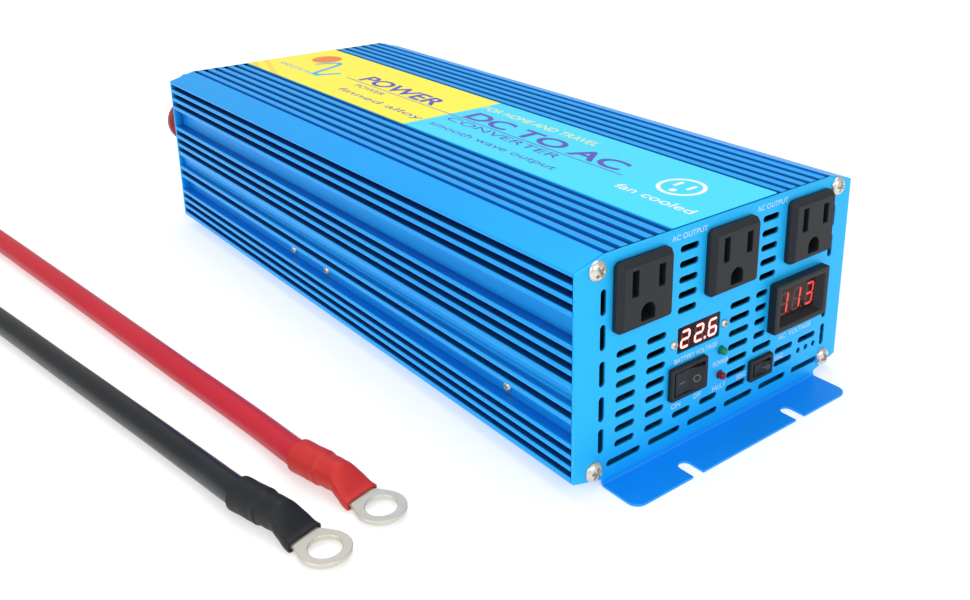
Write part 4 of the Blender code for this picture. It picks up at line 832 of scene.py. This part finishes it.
blade_x, blade_z, earth_drop = 6.35, 4.9, 8.6
for side, x in zip(("left", "middle", "right"), outlet_x):
    half = outlet_size / 2
    face = half - outlet_bevel
    d_hole = arc(x, outlet_z - earth_drop + 1.5, 3.4, 0, 180, 20)
    d_hole += rounded_rectangle(x, outlet_z - earth_drop, 6.8, 3.0)[12:20]
    shape = plate("socket_face", [rounded_rectangle(x, outlet_z, 2 * face + 0.1, 2 * face + 0.1, 0.9),
                                  rounded_rectangle(x - blade_x, outlet_z + blade_z, 3.1, 9.6, 0.35),
                                  rounded_rectangle(x + blade_x, outlet_z + blade_z, 3.1, 8.2, 0.35), d_hole], 14, 0.22)
    face_mesh = as_mesh(shape, "socket_face", lambda points: np.column_stack(
        [points[:, 0], (front_y - outlet_proud + 7.0) * mm - points[:, 2], points[:, 1]]))
    front = (coordinates(face_mesh) / mm, [list(polygon.vertices) for polygon in face_mesh.polygons])
    bpy.data.meshes.remove(face_mesh)
    skirt = stepped_frame(x, outlet_z, [(face, face, 0.8, -0.5), (face, face, 0.8, outlet_proud - 0.25),
                                        (face + 0.08, face + 0.08, 0.9, outlet_proud - 0.12),
                                        (face + 0.25, face + 0.25, 1.1, outlet_proud - 0.16),
                                        (half - 0.15, half - 0.15, 2.2, 2.1), (half, half, 2.4, 1.85),
                                        (half, half, 2.4, 0.05), (face, face, 0.8, 0.05), (face, face, 0.8, -0.5)])
    back = stepped_frame(x, outlet_z, [(face - 0.1, face - 0.1, 0.8, -9.0), (face - 0.1, face - 0.1, 0.8, -19.0)],
                         caps=True)
    piece(f"socket_{side}", [front, skirt, back], black_plastic,
          "black_plastic", f"outlet_{side}", sharp=20)

# ---- AC voltmeter ---------------------------------------------------------------------------------------
# A snap-in panel meter: a black frame that slopes in to a tinted window, over red seven-segment digits.

lens_tint = surface_material("meter_window", (0.030, 0.011, 0.009), (0.024, 0.009, 0.007), 0.22, 0.05, 300,
                             depth=0.01, specular=0.12)
dim_segment = surface_material("unlit_segment", (0.075, 0.024, 0.018), roughness=0.5, grain=300, depth=0.0)


def lit(name, colour, strength):
    """A glowing finish, brightest where the fine grain is."""
    made = surface_material(name, colour, colour, 0.3, 0.05, 300, depth=0.0)
    shader = made.node_tree.nodes["Principled BSDF"]
    shader.inputs["Emission Color"].default_value = (*colour, 1)
    shader.inputs["Emission Strength"].default_value = strength
    return made


red_segment = lit("red_segment", (0.85, 0.03, 0.015), 0.65)
digit_segments = {"1": "bc", "2": "abged", "3": "abgcd", "6": "acdefg", "8": "abcdefg"}


def segments(x, z, height, width, letters, thick, lean=0.10):
    """Six-sided bars of a seven-segment digit, as flat plates leaning to the right."""
    h, w, t = height / 2, width / 2 - thick / 2, thick / 2
    ends_of = {"a": ((-w, h - t), (w, h - t)), "b": ((w, h - t), (w, 0)), "c": ((w, 0), (w, -h + t)),
               "d": ((-w, -h + t), (w, -h + t)), "e": ((-w, 0), (-w, -h + t)), "f": ((-w, h - t), (-w, 0)),
               "g": ((-w, 0), (w, 0))}
    made = []
    for letter in letters:
        start, end = (np.array(point, float) for point in ends_of[letter])
        ahead = (end - start) / np.linalg.norm(end - start)
        aside = np.array([-ahead[1], ahead[0]]) * t * 0.92
        gap = ahead * t * 0.14
        loop = [start + gap, start + gap + ahead * t + aside, end - gap - ahead * t + aside, end - gap,
                end - gap - ahead * t - aside, start + gap + ahead * t - aside]
        made.append([(x + px + lean * pz, z + pz) for px, pz in loop])
    return made


def thin_plates(loops, y, thickness=0.04):
    """Each loop in x and z as a thin slab standing on the surface at y."""
    return [patch(np.stack([np.column_stack([np.array(loop)[:, 0], np.full(len(loop), depth),
                                             np.array(loop)[:, 1]]) for depth in (y, y - thickness)]),
                  around=True, caps=True) for loop in loops]


half, tall = ac_meter_size[0] / 2, ac_meter_size[1] / 2
window = (11.55, 6.5)
bezel_proud = 3.8
piece("ac_meter_frame", [stepped_frame(*ac_meter, [
    (half - 1.6, tall - 1.6, 0.6, -11.0), (half - 1.6, tall - 1.6, 0.6, 0.05), (half, tall, 0.9, 0.05),
    (half, tall, 0.9, bezel_proud - 0.4), (half - 0.12, tall - 0.12, 0.85, bezel_proud - 0.1),
    (half - 0.4, tall - 0.4, 0.7, bezel_proud), (window[0] + 2.6, window[1] + 1.9, 0.6, bezel_proud),
    (window[0] + 2.3, window[1] + 1.65, 0.6, bezel_proud - 0.1), (window[0] + 0.1, window[1] + 0.1, 0.5, 0.85),
    (window[0] - 0.1, window[1] - 0.1, 0.4, 0.6), (window[0] - 0.2, window[1] - 0.2, 0.4, -0.5),
    (window[0] - 0.2, window[1] - 0.2, 0.4, -11.0), (half - 1.6, tall - 1.6, 0.6, -11.0)])],
    black_plastic, "black_plastic", "ac_voltmeter_bezel", sharp=20)
piece("ac_meter_window", [stepped_frame(*ac_meter, [(window[0] - 0.3, window[1] - 0.3, 0.3, -7.0),
                                                    (window[0] - 0.3, window[1] - 0.3, 0.3, 0.60),
                                                    (window[0] - 0.4, window[1] - 0.4, 0.3, 0.68)], caps=True)],
      lens_tint, "smoked_window", "ac_voltmeter_display")
digit_y = front_y - 0.68
ac_digits = [(35.5, "1"), (43.5, "1"), (51.8, "3")]
dim, bright = [], []
for x, digit in ac_digits:
    on = digit_segments[digit]
    bright += segments(x, 42.3, 9.9, 5.2, on, 1.05)
    dim += segments(x, 42.3, 9.9, 5.2, [s for s in "abcdefg" if s not in on], 1.05)
    dim.append(ring(x + 3.5, 37.8, 0.5, 16))
piece("ac_meter_lit_digits", thin_plates(bright, digit_y), red_segment, "smoked_window")
piece("ac_meter_dim_digits", thin_plates(dim, digit_y), dim_segment, "smoked_window")

# ---- Battery voltmeter ----------------------------------------------------------------------------------
# A small three-digit module screwed behind a cut-out, with bright digits behind black tinted plastic.

black_window = surface_material("black_window", (0.014, 0.002, 0.003), (0.024, 0.003, 0.005), 0.22, 0.05, 300,
                                depth=0.01, specular=0.12)
pink_segment = lit("bright_segment", (1.0, 0.52, 0.46), 1.6)
glow_segment = lit("segment_glow", (0.75, 0.012, 0.016), 0.8)
half, tall = battery_meter_size[0] / 2 - 0.3, battery_meter_size[1] / 2 - 0.3
piece("battery_meter_window", [stepped_frame(*battery_meter, [(half, tall, 0.4, -6.8), (half, tall, 0.4, -0.4),
                                                              (half - 0.15, tall - 0.15, 0.4, -0.3)], caps=True)],
      black_window, "smoked_window", "battery_voltmeter")
bright, glow, dim = [], [], []
for x, digit in ((-20.6, "2"), (-13.2, "2"), (-5.7, "6")):
    on = digit_segments[digit]
    bright += segments(x, 45.3, 7.2, 4.9, on, 0.85, 0.08)
    glow += segments(x, 45.3, 7.75, 5.45, on, 1.5, 0.08)
    dim += segments(x, 45.3, 7.2, 4.9, [s for s in "abcdefg" if s not in on], 0.85, 0.08)
bright.append(ring(-9.9, 42.3, 0.5, 16))
glow.append(ring(-9.9, 42.3, 0.8, 16))
for name, plates, look, y in (("lit_digits", bright, pink_segment, 0.25), ("digit_glow", glow, glow_segment, 0.28),
                              ("dim_digits", dim, dim_segment, 0.3)):
    piece(f"battery_meter_{name}", thin_plates(plates, front_y + y), look, "smoked_window")

# ---- Rocker switches ------------------------------------------------------------------------------------
# Snap-in rockers: a black nylon bezel and a two-faced key that rocks on an upright pin, with moulded marks.

grey_ink = surface_material("grey_ink", (0.16, 0.18, 0.19), roughness=0.5, grain=3000, depth=0.02)


def rocker(name, at, size, proud, travel, body, node, marks):
    """The key's section, a shallow valley over a half-round belly, carried up its height and tilted."""
    x, z = at
    half_well, tall = (size[0] - 3.6) / 2 - 1.1, (size[1] - 3.6) / 2 - 0.3
    tilt = math.radians(9)
    reach = travel + proud
    slope = (0.3 + half_well * math.sin(tilt)) / half_well
    face = np.linspace(-half_well, half_well, 25)
    front = -reach + 0.3 - np.abs(face) * slope
    turn = np.linspace(0, np.pi, 25)[1:-1]
    belly = np.column_stack([half_well * np.cos(turn), -reach + 1.2 + half_well * np.sin(turn)])
    section = np.vstack([np.column_stack([face, front]), belly])
    rows_made = []
    for level, inset in ((-tall, 0.35), (-tall + 0.1, 0.12), (-tall + 0.35, 0.0), (tall - 0.35, 0.0),
                         (tall - 0.1, 0.12), (tall, 0.35)):
        shrunk = section * (1 - inset / half_well)
        rows_made.append(np.column_stack([shrunk, np.full(len(section), level)]))
    turned = np.array([[math.cos(tilt), math.sin(tilt), 0], [-math.sin(tilt), math.cos(tilt), 0], [0, 0, 1]])
    pivot = np.array([x, front_y + travel, z])
    key = np.stack(rows_made) @ turned.T + pivot
    piece(name, [patch(key, around=True, caps=True)], black_plastic, "black_plastic", node, body=body)
    flats = []
    for loop in marks:
        loop = np.array(loop)
        y = -reach + 0.3 - np.abs(loop[:, 0]) * slope
        flats.append(patch(np.stack([np.column_stack([loop[:, 0], y - lift, loop[:, 1]]) @ turned.T + pivot
                                     for lift in (-0.05, 0.03)]), around=True, caps=True))
    piece(f"{name}_marks", flats, grey_ink, "black_plastic", body=body)


def bezel(name, at, size, proud, depth, node):
    """A rounded collar round the rocker's well, with a body that reaches back through the panel."""
    half, tall = size[0] / 2, size[1] / 2
    well, rise = (size[0] - 3.6) / 2, (size[1] - 3.6) / 2
    piece(name, [stepped_frame(*at, [
        (half - 1.35, tall - 1.35, 0.4, -depth), (half - 1.35, tall - 1.35, 0.4, 0.05), (half, tall, 1.0, 0.05),
        (half, tall, 1.0, proud - 0.6), (half - 0.2, tall - 0.2, 0.9, proud - 0.15),
        (half - 0.6, tall - 0.6, 0.7, proud), (well + 0.3, rise + 0.3, 0.5, proud), (well, rise, 0.4, proud - 0.3),
        (well, rise, 0.4, -depth + 2.5), (0.1, 0.1, 0.05, -depth + 2.5)]),
        stepped_frame(*at, [(half - 1.35, tall - 1.35, 0.4, -depth), (0.1, 0.1, 0.05, -depth)])],
        black_plastic, "black_plastic", node, sharp=20)


def hollow_ring(x, z, outer, inner, sides=28):
    """Two half rings that together make a letter O."""
    return [arc(x, z, outer, start, start + 180, sides // 2) + arc(x, z, inner, start + 180, start, sides // 2)
            for start in (90, 270)]


bezel("main_switch_bezel", main_switch, main_switch_size, 2.0, 13.7, "main_switch_housing")
rocker("main_switch_key", main_switch, main_switch_size, 2.0, 2.0, "main_rocker", "main_switch_rocker",
       [[(-5.0, -0.17), (-2.0, -0.17), (-2.0, 0.17), (-5.0, 0.17)]] + hollow_ring(3.4, 0, 1.5, 1.2))
bezel("frequency_switch_bezel", frequency_switch, frequency_switch_size, 1.8, 10.7, "frequency_switch_housing")
rocker("frequency_switch_key", frequency_switch, frequency_switch_size, 1.8, 1.6, "frequency_rocker",
       "frequency_switch_rocker",
       [[(0.7, -0.13), (1.7, -0.13), (1.7, 0.13), (0.7, 0.13)]] + hollow_ring(3.1, 0, 0.85, 0.6))

# ---- Indicator lamps ------------------------------------------------------------------------------------
# Three-millimetre lamps pushed through the sheet from behind: cast epoxy domes, green and red.


def lamp_lens(name, z, look, slot_name, node):
    """A hemisphere on a short cylinder, turned about the lamp's axis, with a flange behind the sheet."""
    dome = np.linspace(0.02, np.pi / 2, 14)
    reach = np.concatenate([1.5 * np.sin(dome), [1.5, 1.9, 1.9]])
    proud = np.concatenate([1.4 + 1.5 * np.cos(dome), [-2.2, -2.2, -3.2]])
    turn = np.linspace(0, 2 * np.pi, 40, endpoint=False)[None]
    points = np.stack([lamp_x + reach[:, None] * np.cos(turn), front_y - proud[:, None] + 0 * turn,
                       z + reach[:, None] * np.sin(turn)], -1)
    piece(name, [patch(points, around=True, caps=True)], look, slot_name, node)


green_epoxy = surface_material("green_epoxy", (0.004, 0.26, 0.10), (0.003, 0.18, 0.07), 0.16, 0.04, 300, depth=0.0,
                               specular=0.4)
red_epoxy = surface_material("red_epoxy", (0.26, 0.006, 0.010), (0.18, 0.004, 0.007), 0.16, 0.04, 300, depth=0.0,
                             specular=0.4)
lamp_lens("power_lamp", lamp_z[0], green_epoxy, "green_lens", "power_led")
lamp_lens("fault_lamp", lamp_z[1], red_epoxy, "red_lens", "fault_led")

# ---- Lid label ------------------------------------------------------------------------------------------
# A printed film stuck down the middle of the lid: yellow towards the rear and cyan towards the front, with
# an orange disc, a sine wave and generic wording that reads from the rear to the front.

label_low, label_high = (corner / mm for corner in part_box("label"))
label_split = front_y + 173.8
film = surface_material("label_film", (0.98, 0.88, 0.02), (0.95, 0.84, 0.02), 0.38, 0.06, 900, depth=0.02, coat=0.2)
tree = film.node_tree
spot = linked(tree, "ShaderNodeSeparateXYZ", Vector=tree.nodes.new("ShaderNodeTexCoord").outputs["Object"])
rearward = linked(tree, "ShaderNodeMath", {"operation": "GREATER_THAN"}, i0=spot.outputs["Y"],
                  i1=label_split * mm)
aslant = linked(tree, "ShaderNodeMath", {"operation": "MULTIPLY_ADD"}, i0=spot.outputs["X"], i1=-3.0,
                i2=spot.outputs["Y"])
across_bands = linked(tree, "ShaderNodeMapRange", Value=aslant.outputs[0],
                      **{"From Min": (front_y + 379) * mm, "From Max": (front_y + 424) * mm})
bands = linked(tree, "ShaderNodeValToRGB", Fac=across_bands.outputs[0])
stops = bands.color_ramp.elements
stops[0].position, stops[1].position = 0.14, 1.0
stops[1].color = (0, 0, 0, 1)
for position, level in ((0.22, 1), (0.36, 1), (0.44, 0), (0.64, 0), (0.70, 1), (0.86, 1)):
    stops.new(position).color = (level, level, level, 1)
amber = blend(tree, bands.outputs["Color"], grain_colour(film), (0.94, 0.68, 0.005, 1))
tree.links.new(blend(tree, rearward.outputs[0], (0.012, 0.66, 0.92, 1), amber),
               tree.nodes["Principled BSDF"].inputs["Base Color"])
label_middle, label_size = zip(*[((high + low) / 2, high - low) for low, high in zip(label_low, label_high)][:2])


def flat_loop(loop, z, thickness=0.03):
    """A loop in x and y as a thin slab on the lid."""
    loop = np.array(loop)
    return patch(np.stack([np.column_stack([loop, np.full(len(loop), level)]) for level in (z, z + thickness)]),
                 around=True, caps=True)


label_top = label_high[2]
piece("lid_label", [flat_loop(rounded_rectangle(*label_middle, *label_size, 1.0), label_low[2],
                              label_top - label_low[2])], film, "label_film", "label")


def on_label(x, y):
    """A place on the lid measured from the front left corner."""
    return (x - 75.0, front_y + y)


def on_lid(points, at):
    """Letters on the lid that read towards the front, their tops towards the right-hand side."""
    x, y = on_label(*at)
    return np.column_stack([points[:, 1] + x * mm, y * mm - points[:, 0], points[:, 2] + (label_top + 0.02) * mm])


violet = surface_material("violet_ink", (0.085, 0.070, 0.50), roughness=0.45, grain=2500, depth=0.01)
orange = surface_material("orange_ink", (0.90, 0.25, 0.03), roughness=0.45, grain=2500, depth=0.01)
sky = surface_material("sky_ink", (0.02, 0.45, 0.90), roughness=0.45, grain=2500, depth=0.01)
cream = surface_material("cream_ink", (0.90, 0.90, 0.35), roughness=0.45, grain=2500, depth=0.01)

piece("label_disc", [flat_loop(ring(*on_label(86.6, 320), 8.75, 64), label_top)], orange, "label_film")
t = np.linspace(0, 1, 60)
wave = np.column_stack([75.0 + 12.0 * np.sin(2 * np.pi * t), 313 - 30 * t])
ahead = np.gradient(wave, axis=0)
aside = np.column_stack([-ahead[:, 1], ahead[:, 0]]) / np.linalg.norm(ahead, axis=1, keepdims=True) * 1.3
ribbon = [on_label(*point) for point in np.vstack([wave + aside, (wave - aside)[::-1]])]
piece("label_wave", [flat_loop(ribbon, label_top + 0.01)], sky, "label_film")
piece("label_rule", [flat_loop([on_label(*p) for p in ((72.5, 54), (73.1, 54), (73.1, 273), (72.5, 273))],
                               label_top)], violet, "label_film")
printed("label_wording", [
    ("POWER", 11.0, 72.0, 0.35, (80.0, 228)),
    ("DC TO AC", 11.0, 106.0, 0.35, (80.0, 113)),
    ("CONVERTER", 5.0, 80.0, 0.0, (68.5, 128)),
    ("smooth wave output", 5.8, 90.0, 0.0, (57.0, 122)),
    ("finned alloy", 5.8, 78.0, 0.0, (57.0, 214)),
    ("POWER", 3.6, 28.0, 0.0, (68.0, 240)),
], on_lid, violet, "label_film")
printed("label_caption", [("SMOOTH WAVE", 3.4, 46.0, 0.0, (62.5, 308))], on_lid, sky, "label_film")
printed("label_heading", [("FOR HOME AND TRAVEL", 5.0, 82.0, 0.0, (93.0, 131))], on_lid, cream,
        "label_film")
white_ink = surface_material("label_white", (0.90, 0.93, 0.94), roughness=0.5, grain=2500, depth=0.01)
printed("label_small_print", [("fan cooled", 5.2, 40.0, 0.04, (63.5, 27))], on_lid, white_ink, "label_film")
mark = [on_label(*point) for point in arc(80.5, 29, 10.0, 0, 180, 40) + arc(80.5, 29, 8.2, 180, 0, 40)]
mark_low = [on_label(*point) for point in arc(80.5, 29, 10.0, 180, 360, 40) + arc(80.5, 29, 8.2, 360, 180, 40)]
slots = [[on_label(*point) for point in rounded_rectangle(82.5, 29 + side * 3.4, 5.6, 1.8, 0.3)] for side in (-1, 1)]
piece("label_socket_mark", [flat_loop(loop, label_top + 0.01) for loop in
                            [mark, mark_low, *slots, [on_label(*p) for p in ring(75.5, 29, 1.6, 24)]]],
      white_ink, "label_film")

# ---- Battery terminals and earth stud -------------------------------------------------------------------
# Moulded insulating bushes and fluted clamping knobs on turned brass studs, red to the left seen from the
# front and black to the right, with a small hexagon nut on the earth stud between them.

fluted_radius = 11.5


def turned(x, z, profile, sides=96, flutes=0, depth=0.0):
    """A profile of (radius, reach behind the panel) turned about Y, its outer radius dented by the flutes."""
    profile = np.array(profile, float)
    turn = np.linspace(0, 2 * np.pi, sides, endpoint=False)[None]
    dent = depth * np.clip(np.cos(flutes * turn), 0, 1) ** 2 if flutes else 0 * turn
    radius = profile[:, :1] - dent * (np.abs(profile[:, :1] - fluted_radius) < 0.3)
    return np.stack([x + radius * np.cos(turn), rear_y + profile[:, 1:] + 0 * turn, z + radius * np.sin(turn)], -1)


# The moulding's own red, made darker still as painted shade for the knobs' place behind the case.
red_moulding = surface_material("red_moulding", (0.34, 0.030, 0.034), (0.28, 0.022, 0.026), 0.42, 0.12, 900,
                                depth=0.08, specular=0.35)
brass = surface_material("turned_brass", (0.76, 0.53, 0.20), (0.62, 0.42, 0.15), 0.28, 0.15, 1200, (1, 0.2, 1),
                         0.08, metallic=1.0)
for colour, x, look in (("red", -terminal_x, red_moulding), ("black", terminal_x, black_plastic)):
    piece(f"{colour}_terminal_base", [patch(turned(x, terminal_z, rounded_profile(
        [(4.4, 5.0), (13.0, 5.0), (13.0, 0.1), (5.9, 0.1), (5.9, -8.0), (4.4, -8.0)], 0.5)), True, True)],
        look, f"{colour}_plastic", f"{colour}_terminal_bush")
    piece(f"{colour}_terminal_knob", [patch(turned(x, terminal_z, rounded_profile(
        [(4.3, 22.0), (13.0, 22.0), (13.0, 18.0), (fluted_radius, 16.8), (fluted_radius, 5.3), (4.3, 5.3)], 0.6),
        192, 16, 0.9), True, True)],
        look, f"{colour}_plastic", f"{colour}_terminal_nut")
    threads = [(4.0 - 0.28 * (k % 2), 29.6 - 0.55 * k) for k in range(62)]
    piece(f"{colour}_terminal_post", [patch(turned(x, terminal_z, [(0.05, 31.0), (3.3, 31.0), (3.75, 30.4)] + threads
                                                   + [(4.0, -4.9), (4.0, -8.3), (7.0, -8.3), (7.0, -13.0),
                                                      (0.05, -13.0)], 48), True, caps=True)],
          brass, "brass", f"{colour}_terminal_stud")
threads = [(2.1 - 0.18 * (k % 2), 12.2 - 0.35 * k) for k in range(52)]
piece("earth_post", [patch(turned(0, earth_z, [(0.05, 13.0), (1.7, 13.0), (2.0, 12.5)] + threads + [(0.05, -6.0)], 32),
                           True, caps=True)], brass, "brass", "earth_stud")
turn = np.linspace(0, 2 * np.pi, 96, endpoint=False)[None]
hexagon = 4.0 / np.cos((turn + np.pi / 6) % (np.pi / 3) - np.pi / 6)
levels = np.array([(2.35, 0.3), (2.35, 3.7), (3.5, 3.7), (4.2, 3.45), (9.0, 3.2), (9.0, 0.8), (4.2, 0.55),
                   (3.5, 0.3)])
radius = np.minimum(levels[:, :1], hexagon)
piece("earth_hexagon_nut", [patch(np.stack([radius * np.cos(turn), rear_y + levels[:, 1:] + 0 * turn,
                                            earth_z + radius * np.sin(turn)], -1), True, True)],
      brass, "brass", "earth_nut")

# ---- Fans and electronics -------------------------------------------------------------------------------
# Two 40 mm box fans behind the rear grilles, and inside the case a circuit board on its rails, transformers,
# a storage capacitor, an output choke and the bars that carry the transistors.

glass_nylon = surface_material("fan_nylon", (0.022, 0.022, 0.024), roughness=0.5, grain=900, depth=0.1)
solder_mask = surface_material("solder_mask", (0.01, 0.10, 0.035), (0.02, 0.16, 0.06), 0.3, 0.1, 260, depth=0.1)
mill_aluminium = surface_material("mill_aluminium", (0.72, 0.73, 0.74), roughness=0.35, grain=900,
                                  stretch=(1, 0.02, 1), depth=0.1, metallic=1.0)
ferrite = surface_material("ferrite", (0.045, 0.045, 0.05), roughness=0.55, grain=600, depth=0.2)
copper_wire = surface_material("enamelled_copper", (0.55, 0.22, 0.06), roughness=0.3, grain=500, depth=0.2,
                               metallic=0.7)
can_sleeve = surface_material("capacitor_sleeve", (0.012, 0.02, 0.07), roughness=0.35, grain=400, depth=0.05)
for node, look in (("fan_left_frame", glass_nylon), ("fan_right_frame", glass_nylon), ("fan_left_rotor", glass_nylon),
                   ("fan_right_rotor", glass_nylon), ("circuit_board", solder_mask), ("control_board", solder_mask),
                   ("transistor_bar_left", mill_aluminium), ("transistor_bar_right", mill_aluminium),
                   ("transformer_front", ferrite), ("transformer_rear", ferrite), ("output_inductor", copper_wire),
                   ("capacitor", can_sleeve)):
    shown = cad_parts[node]
    for held in shown.material_slots:
        held.material = look

model_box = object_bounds()
("[%s]" % ", ".join("[%s]" % ", ".join("%.6f" % v for v in corner)
                             for corner in (*cad_box, *model_box)))
